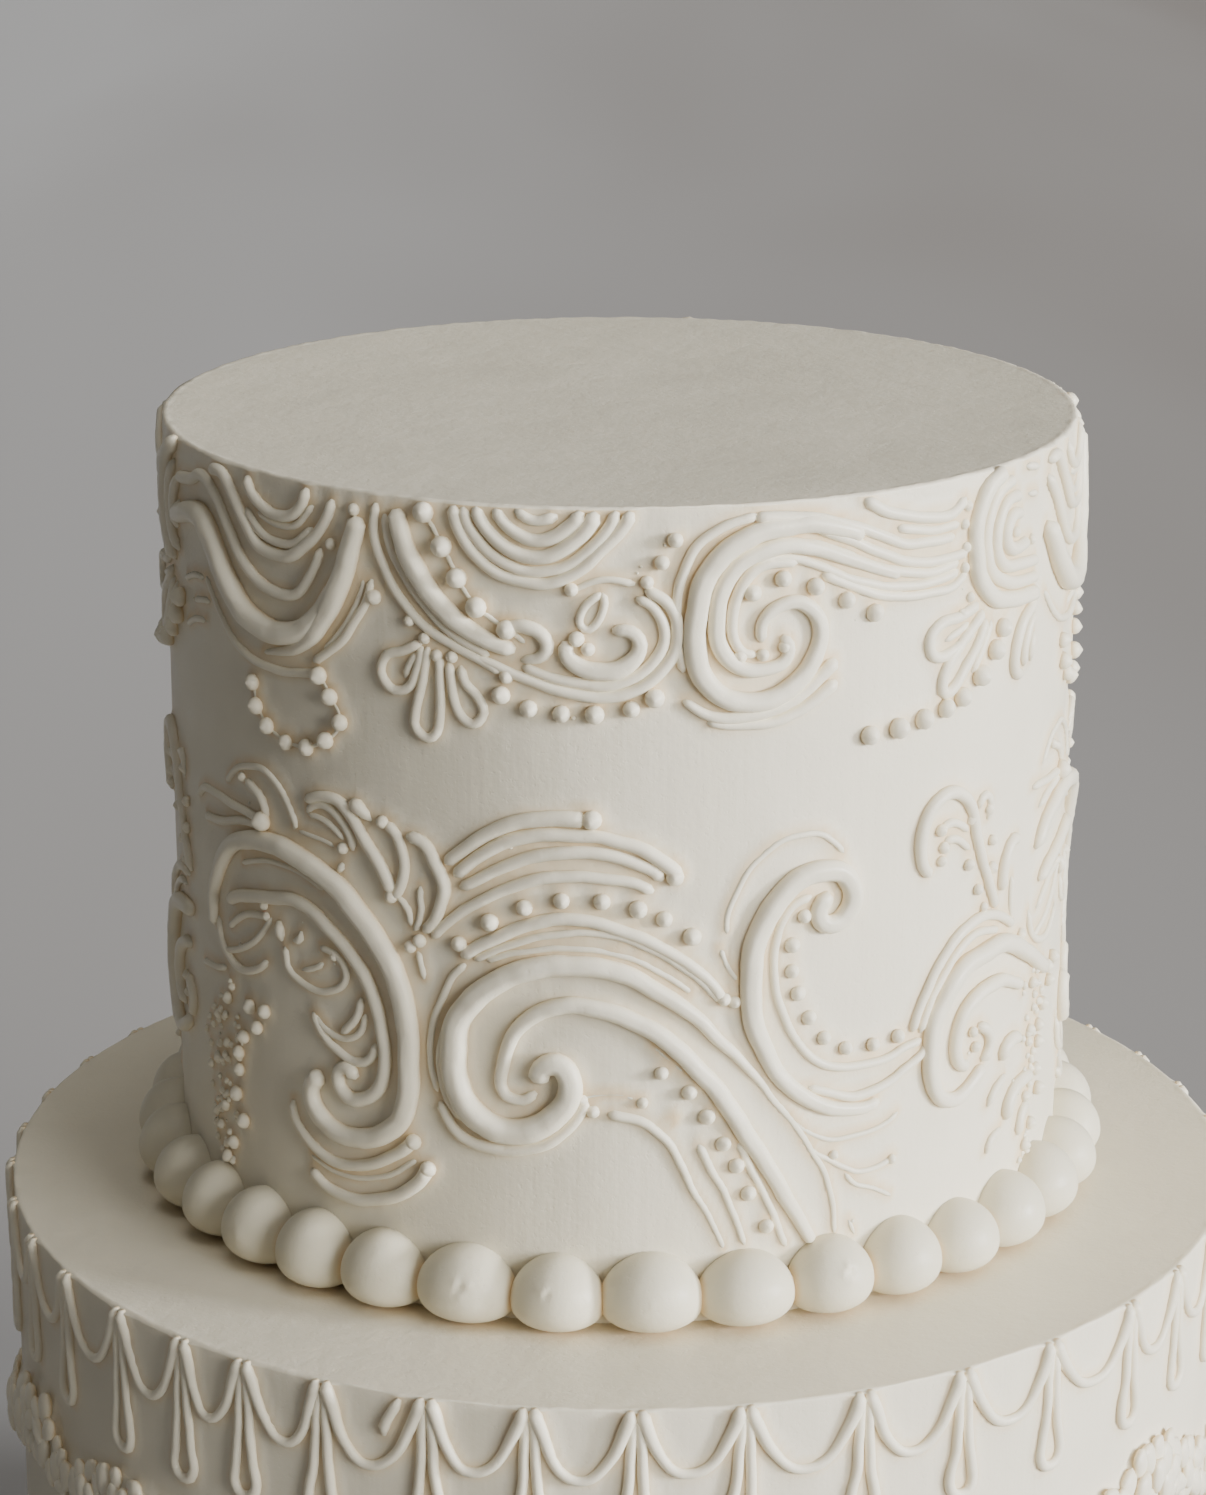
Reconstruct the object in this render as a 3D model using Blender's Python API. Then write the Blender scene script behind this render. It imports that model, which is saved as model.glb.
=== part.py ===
"""Two-tier wedding cake in ivory buttercream, piped with rococo scrolls, beads, swags and ball borders.

Lengths below are millimetres on the cake and become metres at the end. A wall point is (across, up):
across runs rightwards along the wall from the front, and up is the height above that tier's foot.
"""
import math

import bmesh
import bpy
from mathutils import Vector

MM = 0.001

BASE_RADIUS = 106.0
BASE_HEIGHT = 133.0
BASE_FACETS = 80
TOP_RADIUS = 76.0
TOP_HEIGHT = 133.0
TOP_FACETS = 60
TIER_GAP = 0.3

PANELS = 3
SWAGS = 40
SWAG_TURN = math.radians(1.0)
TOP_BALLS = 36
FOOT_BALLS = 40
GARLAND_WAVES = 6

LINE_STEP = 1.0
BEAD_STEP = 0.25
ROPE_SUNK = 0.5
ROPE_RISE = 0.55
ROPE_TOP_SHARE = 0.55
RIDGE_UNDER = 3.3
RIM_MARGIN = 0.25
LONGEST_RING_STEP = 16.0
MOST_TURN = math.radians(34)
END_SCALE = 0.55
FLAT_ENOUGH = math.radians(5.5)
WALL_CREASE = math.radians(18)
BORDER_CREASE = math.radians(65)

BALL_SIDES = 8
BALL_PROFILE = ((0.0, 0.52), (0.38, 1.0), (0.8, 0.7))
BALL_HEIGHT = 12.1
BALL_HALF_WIDTH = 7.4
BALL_HALF_DEPTH = 7.0
BALL_PRESSED = 5.9
BALL_TURN = math.radians(3.0)
FOOT_HEIGHT = 13.4
FOOT_HALF_DEPTH = 4.4
FOOT_TURN = 0.0
# How far the ring swells at each step through one dollop, and the outline across it: (aside, up) as shares.
FOOT_SWELL = (0.72, 1.0, 1.0)
FOOT_SECTION = ((-1.0, 0.0), (0.5, 0.0), (1.0, 0.38), (0.5, 0.84), (-0.3, 1.0), (-1.0, 0.9))
BALL_GAP = 0.3

BEAD_SIDES = 5
BEAD_WIDTH = 3.0
BEAD_RISE = 0.58
BEAD_FOOT = 0.52
BEAD_SHOULDER = 0.44
BEAD_SHOULDER_UP = 0.5

SWAG_WIDTH = 2.0
SWAG_TOP = 131.3
SWAG_LOW = 120.8
SWAG_HEAD = 0.8
SWAG_SHOULDER = 0.62
SWAG_SHOULDER_RISE = 3.6
DROP_TOP_WIDTH = 3.4
DROP_WIDTH = 4.6
DROP_RISE = 0.34
DROP_LOW = 108.9
GARLAND_WIDTH = 12.0
GARLAND_RISE = 0.24
GARLAND_HEIGHT = 95.0
GARLAND_WAVE = 3.0
GARLAND_STEPS = 6
GARLAND_SPLIT = 0.4
KNOB_WIDTH = 17.0
KNOB_RISE = 0.26
KNOB_SIDES = 8

ICING_WALL = (0.800, 0.765, 0.700)
ICING_PIPED = (0.815, 0.785, 0.725)
WALL_ROUGHNESS = 0.55
PIPED_ROUGHNESS = 0.5

# Each stroke of the scroll design: its width at the start and at the end, then the points it runs through.
UPPER_STROKES = (
    (3.4, 3.8, (-84, 122), (-76, 120), (-67, 109), (-57, 107), (-46, 116), (-41.5, 128)),
    (1.4, 1.6, (-79, 112.5), (-70, 104.5), (-60, 101.5), (-48, 105.5), (-39, 117)),
    (1.8, 1.8, (-80, 128.5), (-64, 115.5), (-56, 114.5), (-49, 123)),
    (3.6, 3.2, (-34.5, 130), (-32.5, 124.5), (-24.5, 115.5), (-15, 111.3)),
    (1.8, 1.8, (-38.5, 131), (-37, 121), (-29.5, 112.5), (-18, 107)),
    (2.2, 2.0, (-17, 106.5), (-8, 103.8), (0, 104), (7.7, 111.5), (5, 119.5), (-3, 121)),
    (2.0, 2.0, (-25, 132), (-21.5, 125), (-14, 120.7), (-6, 123), (1.2, 132)),
    (1.6, 1.6, (-20, 131), (-16, 127), (-12.5, 126), (-4, 132)),
    (1.2, 3.6, (-31, 110), (-36.4, 104)),
    (1.2, 3.4, (-29.6, 109), (-30.3, 97.3)),
    (1.2, 3.2, (-26.2, 108), (-22.6, 100)),
    (2.8, 3.2, (30, 129.3), (20, 128), (12, 121), (10.8, 110.5), (20, 102), (29.5, 108)),
    (2.8, 2.2, (29.5, 108), (30, 115), (24.5, 117), (21, 112)),
    (2.2, 2.2, (45, 119), (32, 124), (25, 126), (18, 125), (14, 117), (19.5, 108.4)),
    (1.8, 1.8, (38, 131.5), (50, 127.7), (58.5, 129.2)),
    (1.8, 1.8, (31, 128.3), (42, 122.8), (58.5, 120.6)),
    (3.0, 2.6, (66, 132), (60, 126), (61.5, 116), (70, 110.5), (80, 110)),
    (1.2, 3.0, (62, 111), (52.6, 107.2)),
    (1.2, 3.0, (63, 109), (55.2, 100.8)),
)
LOWER_STROKES = (
    (1.6, 1.6, (-74, 80), (-66, 84.3), (-55.8, 76.8)),
    (3.4, 3.6, (-79.5, 54), (-76, 66), (-66, 72.3), (-52, 71.2), (-41.5, 64), (-35.5, 54.5), (-34, 43)),
    (3.6, 3.2, (-34, 43), (-36, 31.5), (-45.5, 27), (-52, 34)),
    (2.0, 2.4, (-74, 60), (-65.6, 62.8), (-55.9, 64.5), (-44.9, 58.3), (-39, 47), (-40.1, 36)),
    (1.8, 2.4, (-57.8, 30), (-54, 23.8), (-45, 22), (-33.5, 28.5)),
    (2.0, 2.6, (-54, 19), (-45, 16.3), (-31, 24.3)),
    (2.0, 1.6, (-37.7, 81), (-34.5, 74.8), (-35.9, 68)),
    (2.2, 1.6, (-34, 79.3), (-29.1, 75.5), (-31.8, 62)),
    (4.2, 3.6, (-13, 41), (-10, 44.2), (-7.9, 40), (-13, 33.6), (-21, 33.4), (-26, 40.7)),
    (3.6, 3.0, (-26, 40.7), (-25.6, 50), (-17, 58.6), (-4.6, 60.6), (8.3, 54.5), (16.4, 46.6)),
    (3.0, 1.0, (16.4, 46.6), (24.9, 35.9), (32.5, 24.5), (35.2, 12.8)),
    (1.6, 2.6, (-13.2, 39.3), (-18, 38.8), (-18.4, 44), (-11.2, 53.4), (2.3, 51.5), (11.8, 43.4)),
    (2.8, 2.4, (11.8, 43.4), (20.8, 29), (31, 12.8)),
    (2.4, 2.2, (-24.4, 60), (-15, 65.6), (-5, 67.6), (6.6, 63.6), (16.4, 54)),
    (2.4, 2.4, (-27, 75.2), (-19.1, 81.6), (-4.4, 83.8)),
    (1.8, 1.4, (-2, 36.2), (7.7, 30.7), (16.3, 12.9)),
    (3.6, 3.6, (32.4, 66.6), (36.8, 68.4), (33, 73.8), (25.6, 71.6), (20.3, 61)),
    (3.6, 2.0, (20.3, 61), (20.6, 50), (28, 37.9), (42.6, 33.4)),
    (1.8, 1.8, (30.1, 70), (24, 60), (27.4, 47), (36.5, 40.4), (51.2, 42)),
    (1.4, 1.4, (15.4, 61), (17.7, 71.7), (25.6, 79.7), (35.6, 76.2)),
    (2.4, 2.8, (79, 49.7), (69.9, 53.4), (57.8, 50), (53.4, 40), (57.4, 30), (66.4, 33.2)),
    (1.8, 1.8, (49.5, 43.8), (54.7, 53.4), (64.7, 59.2), (75, 55.7)),
    (1.8, 2.2, (52.6, 69.3), (50.9, 77.9), (57.8, 82.1), (63, 74), (69.2, 60)),
    (1.9, 1.7, (70.9, 62.4), (76.1, 69.7)),
)
# Each run of beads: how many, then the points the run passes through.
BEAD_RUNS = (
    (9, (-66, 98.3), (-62.5, 91.7), (-53.3, 90), (-46, 95.3), (-50, 102.5)),
    (9, (39.5, 94.3), (54.5, 96), (62.5, 99.5), (69.6, 107.6)),
)


def smooth_line(points, step):
    """Points about a step apart on the curve that passes through each of the given points."""
    ends = [Vector(point) for point in points]
    ends = [2 * ends[0] - ends[1]] + ends + [2 * ends[-1] - ends[-2]]
    line = []
    for before, start, end, after in zip(ends, ends[1:], ends[2:], ends[3:]):
        count = max(2, round((end - start).length / step))
        for i in range(count):
            t = i / count
            line.append(
                0.5
                * (
                    2 * start
                    + (end - before) * t
                    + (2 * before - 5 * start + 4 * end - after) * t**2
                    + (3 * start - before - 3 * end + after) * t**3
                )
            )
    return line + [ends[-2]]


def ring_places(line):
    """Indices along the line, closer together where it turns."""
    places, turned, run = [0], 0.0, 0.0
    for i in range(1, len(line) - 1):
        turned += abs((line[i] - line[i - 1]).angle_signed(line[i + 1] - line[i]))
        run += (line[i] - line[i - 1]).length
        if turned > MOST_TURN or run > LONGEST_RING_STEP:
            places.append(i)
            turned, run = 0.0, 0.0
    return places + [len(line) - 1]


def to_world(wall, across, up, out):
    """The place in space of a point on a wall, which is (radius, foot height, turn, highest point)."""
    radius, foot, turn, top = wall
    angle = across / radius + turn
    reach = radius + out
    height = foot + min(up, top)
    return Vector((reach * math.sin(angle), -reach * math.cos(angle), height)) * MM


def solid_object(name, points, faces, collection, material):
    mesh = bpy.data.meshes.new(name)
    mesh.from_pydata([tuple(point) for point in points], [], faces)
    work = bmesh.new()
    work.from_mesh(mesh)
    bmesh.ops.recalc_face_normals(work, faces=work.faces)
    work.to_mesh(mesh)
    work.free()
    mesh.materials.append(material)
    made = bpy.data.objects.new(name, mesh)
    collection.objects.link(made)
    return made


def skin(rings):
    """The points and faces of a closed body through rings of equal size."""
    size = len(rings[0])
    points = [point for ring in rings for point in ring]
    faces = [tuple(range(size)), tuple(range(len(points) - size, len(points)))]
    for row in range(len(rings) - 1):
        for i in range(size):
            a, b = row * size + i, row * size + (i + 1) % size
            faces.append((a, b, b + size, a + size))
    return points, faces


def dome(name, rings, peak, collection, material):
    """A closed body through the rings that ends in a peak."""
    points, faces = skin(rings)
    last, sides = len(points), len(rings[0])
    faces.pop(1)
    points.append(peak)
    faces += [(last - sides + i, last - sides + (i + 1) % sides, last) for i in range(sides)]
    return solid_object(name, points, faces, collection, material)


def rope(wall, first_width, last_width, points, collection, material, rise=ROPE_RISE):
    """A piped stroke on the wall: flat-topped where it is wide, a ridge where it is thin."""
    line = smooth_line(points, LINE_STEP)
    places = ring_places(line)
    rings = []
    for i in places:
        here = line[i]
        tangent = (line[min(i + 1, len(line) - 1)] - line[max(i - 1, 0)]).normalized()
        side = Vector((-tangent.y, tangent.x))
        share = i / (len(line) - 1)
        width = first_width + (last_width - first_width) * share
        grow = END_SCALE if i in (places[0], places[-1]) else 1.0
        half = 0.5 * width * grow
        out = rise * width * grow
        spread = (out + ROPE_SUNK) / out
        if max(first_width, last_width) > RIDGE_UNDER:
            top = ROPE_TOP_SHARE * half
            root = top + (half - top) * spread
            section = ((-root, -ROPE_SUNK), (-top, out), (top, out), (root, -ROPE_SUNK))
        else:
            section = ((-half * spread, -ROPE_SUNK), (0, out), (half * spread, -ROPE_SUNK))
        rings.append(
            [to_world(wall, here.x + away * side.x, here.y + away * side.y, high) for away, high in section]
        )
    return solid_object("rope", *skin(rings), collection, material)


def bead(wall, across, up, width, rise, collection, material, sides=BEAD_SIDES):
    """A domed bead of icing with its foot sunk in the wall."""
    rings = []
    for out, reach in ((-ROPE_SUNK, BEAD_FOOT), (BEAD_SHOULDER_UP * rise * width, BEAD_SHOULDER)):
        ring = []
        for i in range(sides):
            angle = 2 * math.pi * (i + 0.5) / sides
            aside, higher = reach * width * math.cos(angle), reach * width * math.sin(angle)
            ring.append(to_world(wall, across + aside, up + higher, out))
        rings.append(ring)
    return dome("bead", rings, to_world(wall, across, up, rise * width), collection, material)


def icing(name, colour, roughness):
    material = bpy.data.materials.new(name)
    material.use_nodes = True
    shader = material.node_tree.nodes["Principled BSDF"]
    shader.inputs["Base Color"].default_value = (*colour, 1.0)
    shader.inputs["Roughness"].default_value = roughness
    shader.inputs["Metallic"].default_value = 0.0
    return material


def drum(name, radius, foot, height, facets, turn, material):
    """A tier: an upright cylinder with its foot at the given height and its facets starting at turn."""
    rings = []
    for up in (foot, foot + height):
        rings.append(
            [
                Vector((radius * math.sin(angle), -radius * math.cos(angle), up)) * MM
                for angle in (turn + 2 * math.pi * i / facets for i in range(facets))
            ]
        )
    return solid_object(name, *skin(rings), bpy.context.scene.collection, material)


def fuse(body, collection):
    """Makes one solid of the body and all that is piped on it."""
    union = body.modifiers.new("piping", "BOOLEAN")
    union.operation = "UNION"
    union.operand_type = "COLLECTION"
    union.collection = collection
    union.solver = "MANIFOLD"
    bpy.context.view_layer.update()
    whole = bpy.data.meshes.new_from_object(body.evaluated_get(bpy.context.evaluated_depsgraph_get()))
    body.modifiers.clear()
    body.data = whole
    work = bmesh.new()
    work.from_mesh(whole)
    bmesh.ops.dissolve_limit(work, angle_limit=FLAT_ENOUGH, verts=work.verts, edges=work.edges)
    bmesh.ops.triangulate(work, faces=work.faces)
    work.to_mesh(whole)
    work.free()
    for piece in list(collection.objects):
        bpy.data.objects.remove(piece, do_unlink=True)
    bpy.data.collections.remove(collection)


def piping_collection(name):
    collection = bpy.data.collections.new(name)
    bpy.context.scene.collection.children.link(collection)
    return collection


def build_top_tier(material):
    """The upper tier with its scroll design, the same panel three times round."""
    foot = BASE_HEIGHT + TIER_GAP
    tier = drum("top_tier", TOP_RADIUS, foot, TOP_HEIGHT - TIER_GAP, TOP_FACETS, 0.0, material)
    piping = piping_collection("top_piping")
    for panel in range(PANELS):
        wall = (TOP_RADIUS, BASE_HEIGHT, 2 * math.pi * panel / PANELS, TOP_HEIGHT - RIM_MARGIN)
        for first_width, last_width, *points in UPPER_STROKES + LOWER_STROKES:
            rope(wall, first_width, last_width, points, piping, material)
        for count, *points in BEAD_RUNS:
            line = smooth_line(points, BEAD_STEP)
            for i in range(count):
                here = line[round(i * (len(line) - 1) / (count - 1))]
                bead(wall, here.x, here.y, BEAD_WIDTH, BEAD_RISE, piping, material)
    fuse(tier, piping)


def build_swags(piping, material):
    """A row of swags under the rim with a long drop where each two meet."""
    half = math.pi * BASE_RADIUS / SWAGS
    shoulder = SWAG_LOW + SWAG_SHOULDER_RISE
    swag = (
        (SWAG_HEAD - half, SWAG_TOP), (-SWAG_SHOULDER * half, shoulder), (0, SWAG_LOW),
        (SWAG_SHOULDER * half, shoulder), (half - SWAG_HEAD, SWAG_TOP),
    )
    drop = ((half, SWAG_TOP), (half, DROP_LOW + DROP_WIDTH), (half, DROP_LOW))
    for i in range(SWAGS):
        wall = (BASE_RADIUS, 0.0, SWAG_TURN + 2 * math.pi * (i + 0.5) / SWAGS, BASE_HEIGHT - RIM_MARGIN)
        rope(wall, SWAG_WIDTH, SWAG_WIDTH, swag, piping, material)
        rope(wall, DROP_TOP_WIDTH, DROP_WIDTH, drop, piping, material, rise=DROP_RISE)


def build_garland(piping, material):
    """A thick garland that waves round the lower tier, with a knob on each crest."""
    wall = (BASE_RADIUS, 0.0, 0.0, BASE_HEIGHT)
    arc = 2 * math.pi * BASE_RADIUS / GARLAND_WAVES
    for wave in range(GARLAND_WAVES):
        sweep = []
        for step in range(GARLAND_STEPS + 1):
            share = step / GARLAND_STEPS
            inset = GARLAND_SPLIT * (1 - 2 * share)
            height = GARLAND_HEIGHT + GARLAND_WAVE * math.cos(2 * math.pi * share)
            sweep.append(((wave + share) * arc + inset, height))
        rope(wall, GARLAND_WIDTH, GARLAND_WIDTH, sweep, piping, material, rise=GARLAND_RISE)
        crest = GARLAND_HEIGHT + GARLAND_WAVE
        bead(wall, wave * arc, crest, KNOB_WIDTH, KNOB_RISE, piping, material, KNOB_SIDES)


def build_bottom_tier(material):
    """The lower tier with swags and drops under its rim and a garland lower down."""
    facets_turn = SWAG_TURN + math.pi / BASE_FACETS
    tier = drum("bottom_tier", BASE_RADIUS, 0.0, BASE_HEIGHT, BASE_FACETS, facets_turn, material)
    piping = piping_collection("bottom_piping")
    build_swags(piping, material)
    build_garland(piping, material)
    fuse(tier, piping)


def ball_points(turn):
    """Rings and peak of one dollop, pressed flat by the wall, the tier below and its two neighbours."""
    middle = TOP_RADIUS + BALL_GAP + BALL_HALF_DEPTH - BALL_PRESSED
    foot = BASE_HEIGHT + BALL_GAP

    def place(out, aside, up):
        across = out * math.sin(turn) + aside * math.cos(turn)
        back = aside * math.sin(turn) - out * math.cos(turn)
        return Vector((across, back, foot + up)) * MM

    rings = []
    for share, reach in BALL_PROFILE:
        ring = []
        for i in range(BALL_SIDES):
            angle = 2 * math.pi * (i + 0.5) / BALL_SIDES
            out = max(middle + BALL_HALF_DEPTH * reach * math.cos(angle), TOP_RADIUS + BALL_GAP)
            most = out * math.tan(math.pi / TOP_BALLS) - 0.5 * BALL_GAP
            aside = max(-most, min(most, BALL_HALF_WIDTH * reach * math.sin(angle)))
            ring.append(place(out, aside, share * BALL_HEIGHT))
        rings.append(ring)
    return rings, place(middle, 0.0, BALL_HEIGHT)


def build_top_border(material):
    """The dollops round the foot of the upper tier, each its own piece."""
    for i in range(TOP_BALLS):
        rings, peak = ball_points(BALL_TURN + 2 * math.pi * i / TOP_BALLS)
        dome(f"ball_{i:02d}", rings, peak, bpy.context.scene.collection, material)


def build_foot_border(material):
    """One ring of dollops that ran together as they were piped, pressed flat by the wall and the ground."""
    middle = BASE_RADIUS + BALL_GAP + FOOT_HALF_DEPTH
    rings = []
    for i in range(FOOT_BALLS * len(FOOT_SWELL)):
        swell = FOOT_SWELL[i % len(FOOT_SWELL)]
        angle = FOOT_TURN + 2 * math.pi * i / (FOOT_BALLS * len(FOOT_SWELL))
        ring = []
        for aside, up in FOOT_SECTION:
            reach = middle + FOOT_HALF_DEPTH * (aside * swell if aside > 0 else aside)
            height = FOOT_HEIGHT * up * swell
            ring.append(Vector((reach * math.sin(angle), -reach * math.cos(angle), height)) * MM)
        rings.append(ring)
    points, faces = skin(rings)
    size, last = len(FOOT_SECTION), len(points)
    faces = faces[2:]
    faces += [
        (last - size + i, last - size + (i + 1) % size, (i + 1) % size, i) for i in range(size)
    ]
    solid_object("foot_border", points, faces, bpy.context.scene.collection, material)


def round_off(made, angle):
    """Smooth shading on the icing, with edges bent more than the angle kept sharp."""
    for face in made.data.polygons:
        face.use_smooth = True
    made.data.set_sharp_from_angle(angle=angle)


def main():
    for leftover in list(bpy.data.objects):
        bpy.data.objects.remove(leftover, do_unlink=True)
    wall_icing = icing("icing_wall", ICING_WALL, WALL_ROUGHNESS)
    piped_icing = icing("icing_piped", ICING_PIPED, PIPED_ROUGHNESS)
    build_bottom_tier(wall_icing)
    build_top_tier(wall_icing)
    build_foot_border(piped_icing)
    build_top_border(piped_icing)
    for made in bpy.context.scene.collection.all_objects:
        round_off(made, WALL_CREASE if made.name.endswith("_tier") else BORDER_CREASE)


main()
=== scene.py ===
"""Two-tier wedding cake in ivory buttercream: looks, light and camera.

Every piece is made of closed rings of points: strokes, beads, shells and dollops of piped icing, and the two
smooth tiers under them. Lengths are in millimetres up to the mesh, and places on a wall are unrolled: so far
across from the middle of its front, to the right, and so far up from its foot.
"""
import math

import bpy
import numpy as np
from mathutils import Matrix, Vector, kdtree


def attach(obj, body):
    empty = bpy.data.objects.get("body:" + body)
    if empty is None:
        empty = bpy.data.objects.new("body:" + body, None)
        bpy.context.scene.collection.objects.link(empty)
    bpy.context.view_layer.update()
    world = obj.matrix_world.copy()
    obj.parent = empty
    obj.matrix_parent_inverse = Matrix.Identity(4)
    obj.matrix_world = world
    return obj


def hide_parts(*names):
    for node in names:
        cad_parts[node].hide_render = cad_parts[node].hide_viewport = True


MM = 0.001
BASE_R, BASE_H = 106.0, 133.0
TOP_R, TOP_H = 76.0, 133.0
LOWER_WALL = (BASE_R, 0.0, 0.0)
RNG = np.random.default_rng(17)

# The scroll design on the upper tier's wall. Two strokes are the threads under rows of beads.
BEAD_CHAIN = ((-65.2, 98.6), (-64.4, 94.9), (-61.7, 92.2), (-57.3, 90.4), (-52.8, 90.5), (-48.7, 92.4),
              (-45.8, 95.8), (-47.7, 99.6), (-49.8, 102.7))
BEAD_BRANCH = ((-30.3, 131), (-27.4, 126), (-25, 121.3), (-22, 117), (-17.3, 113.8))

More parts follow.
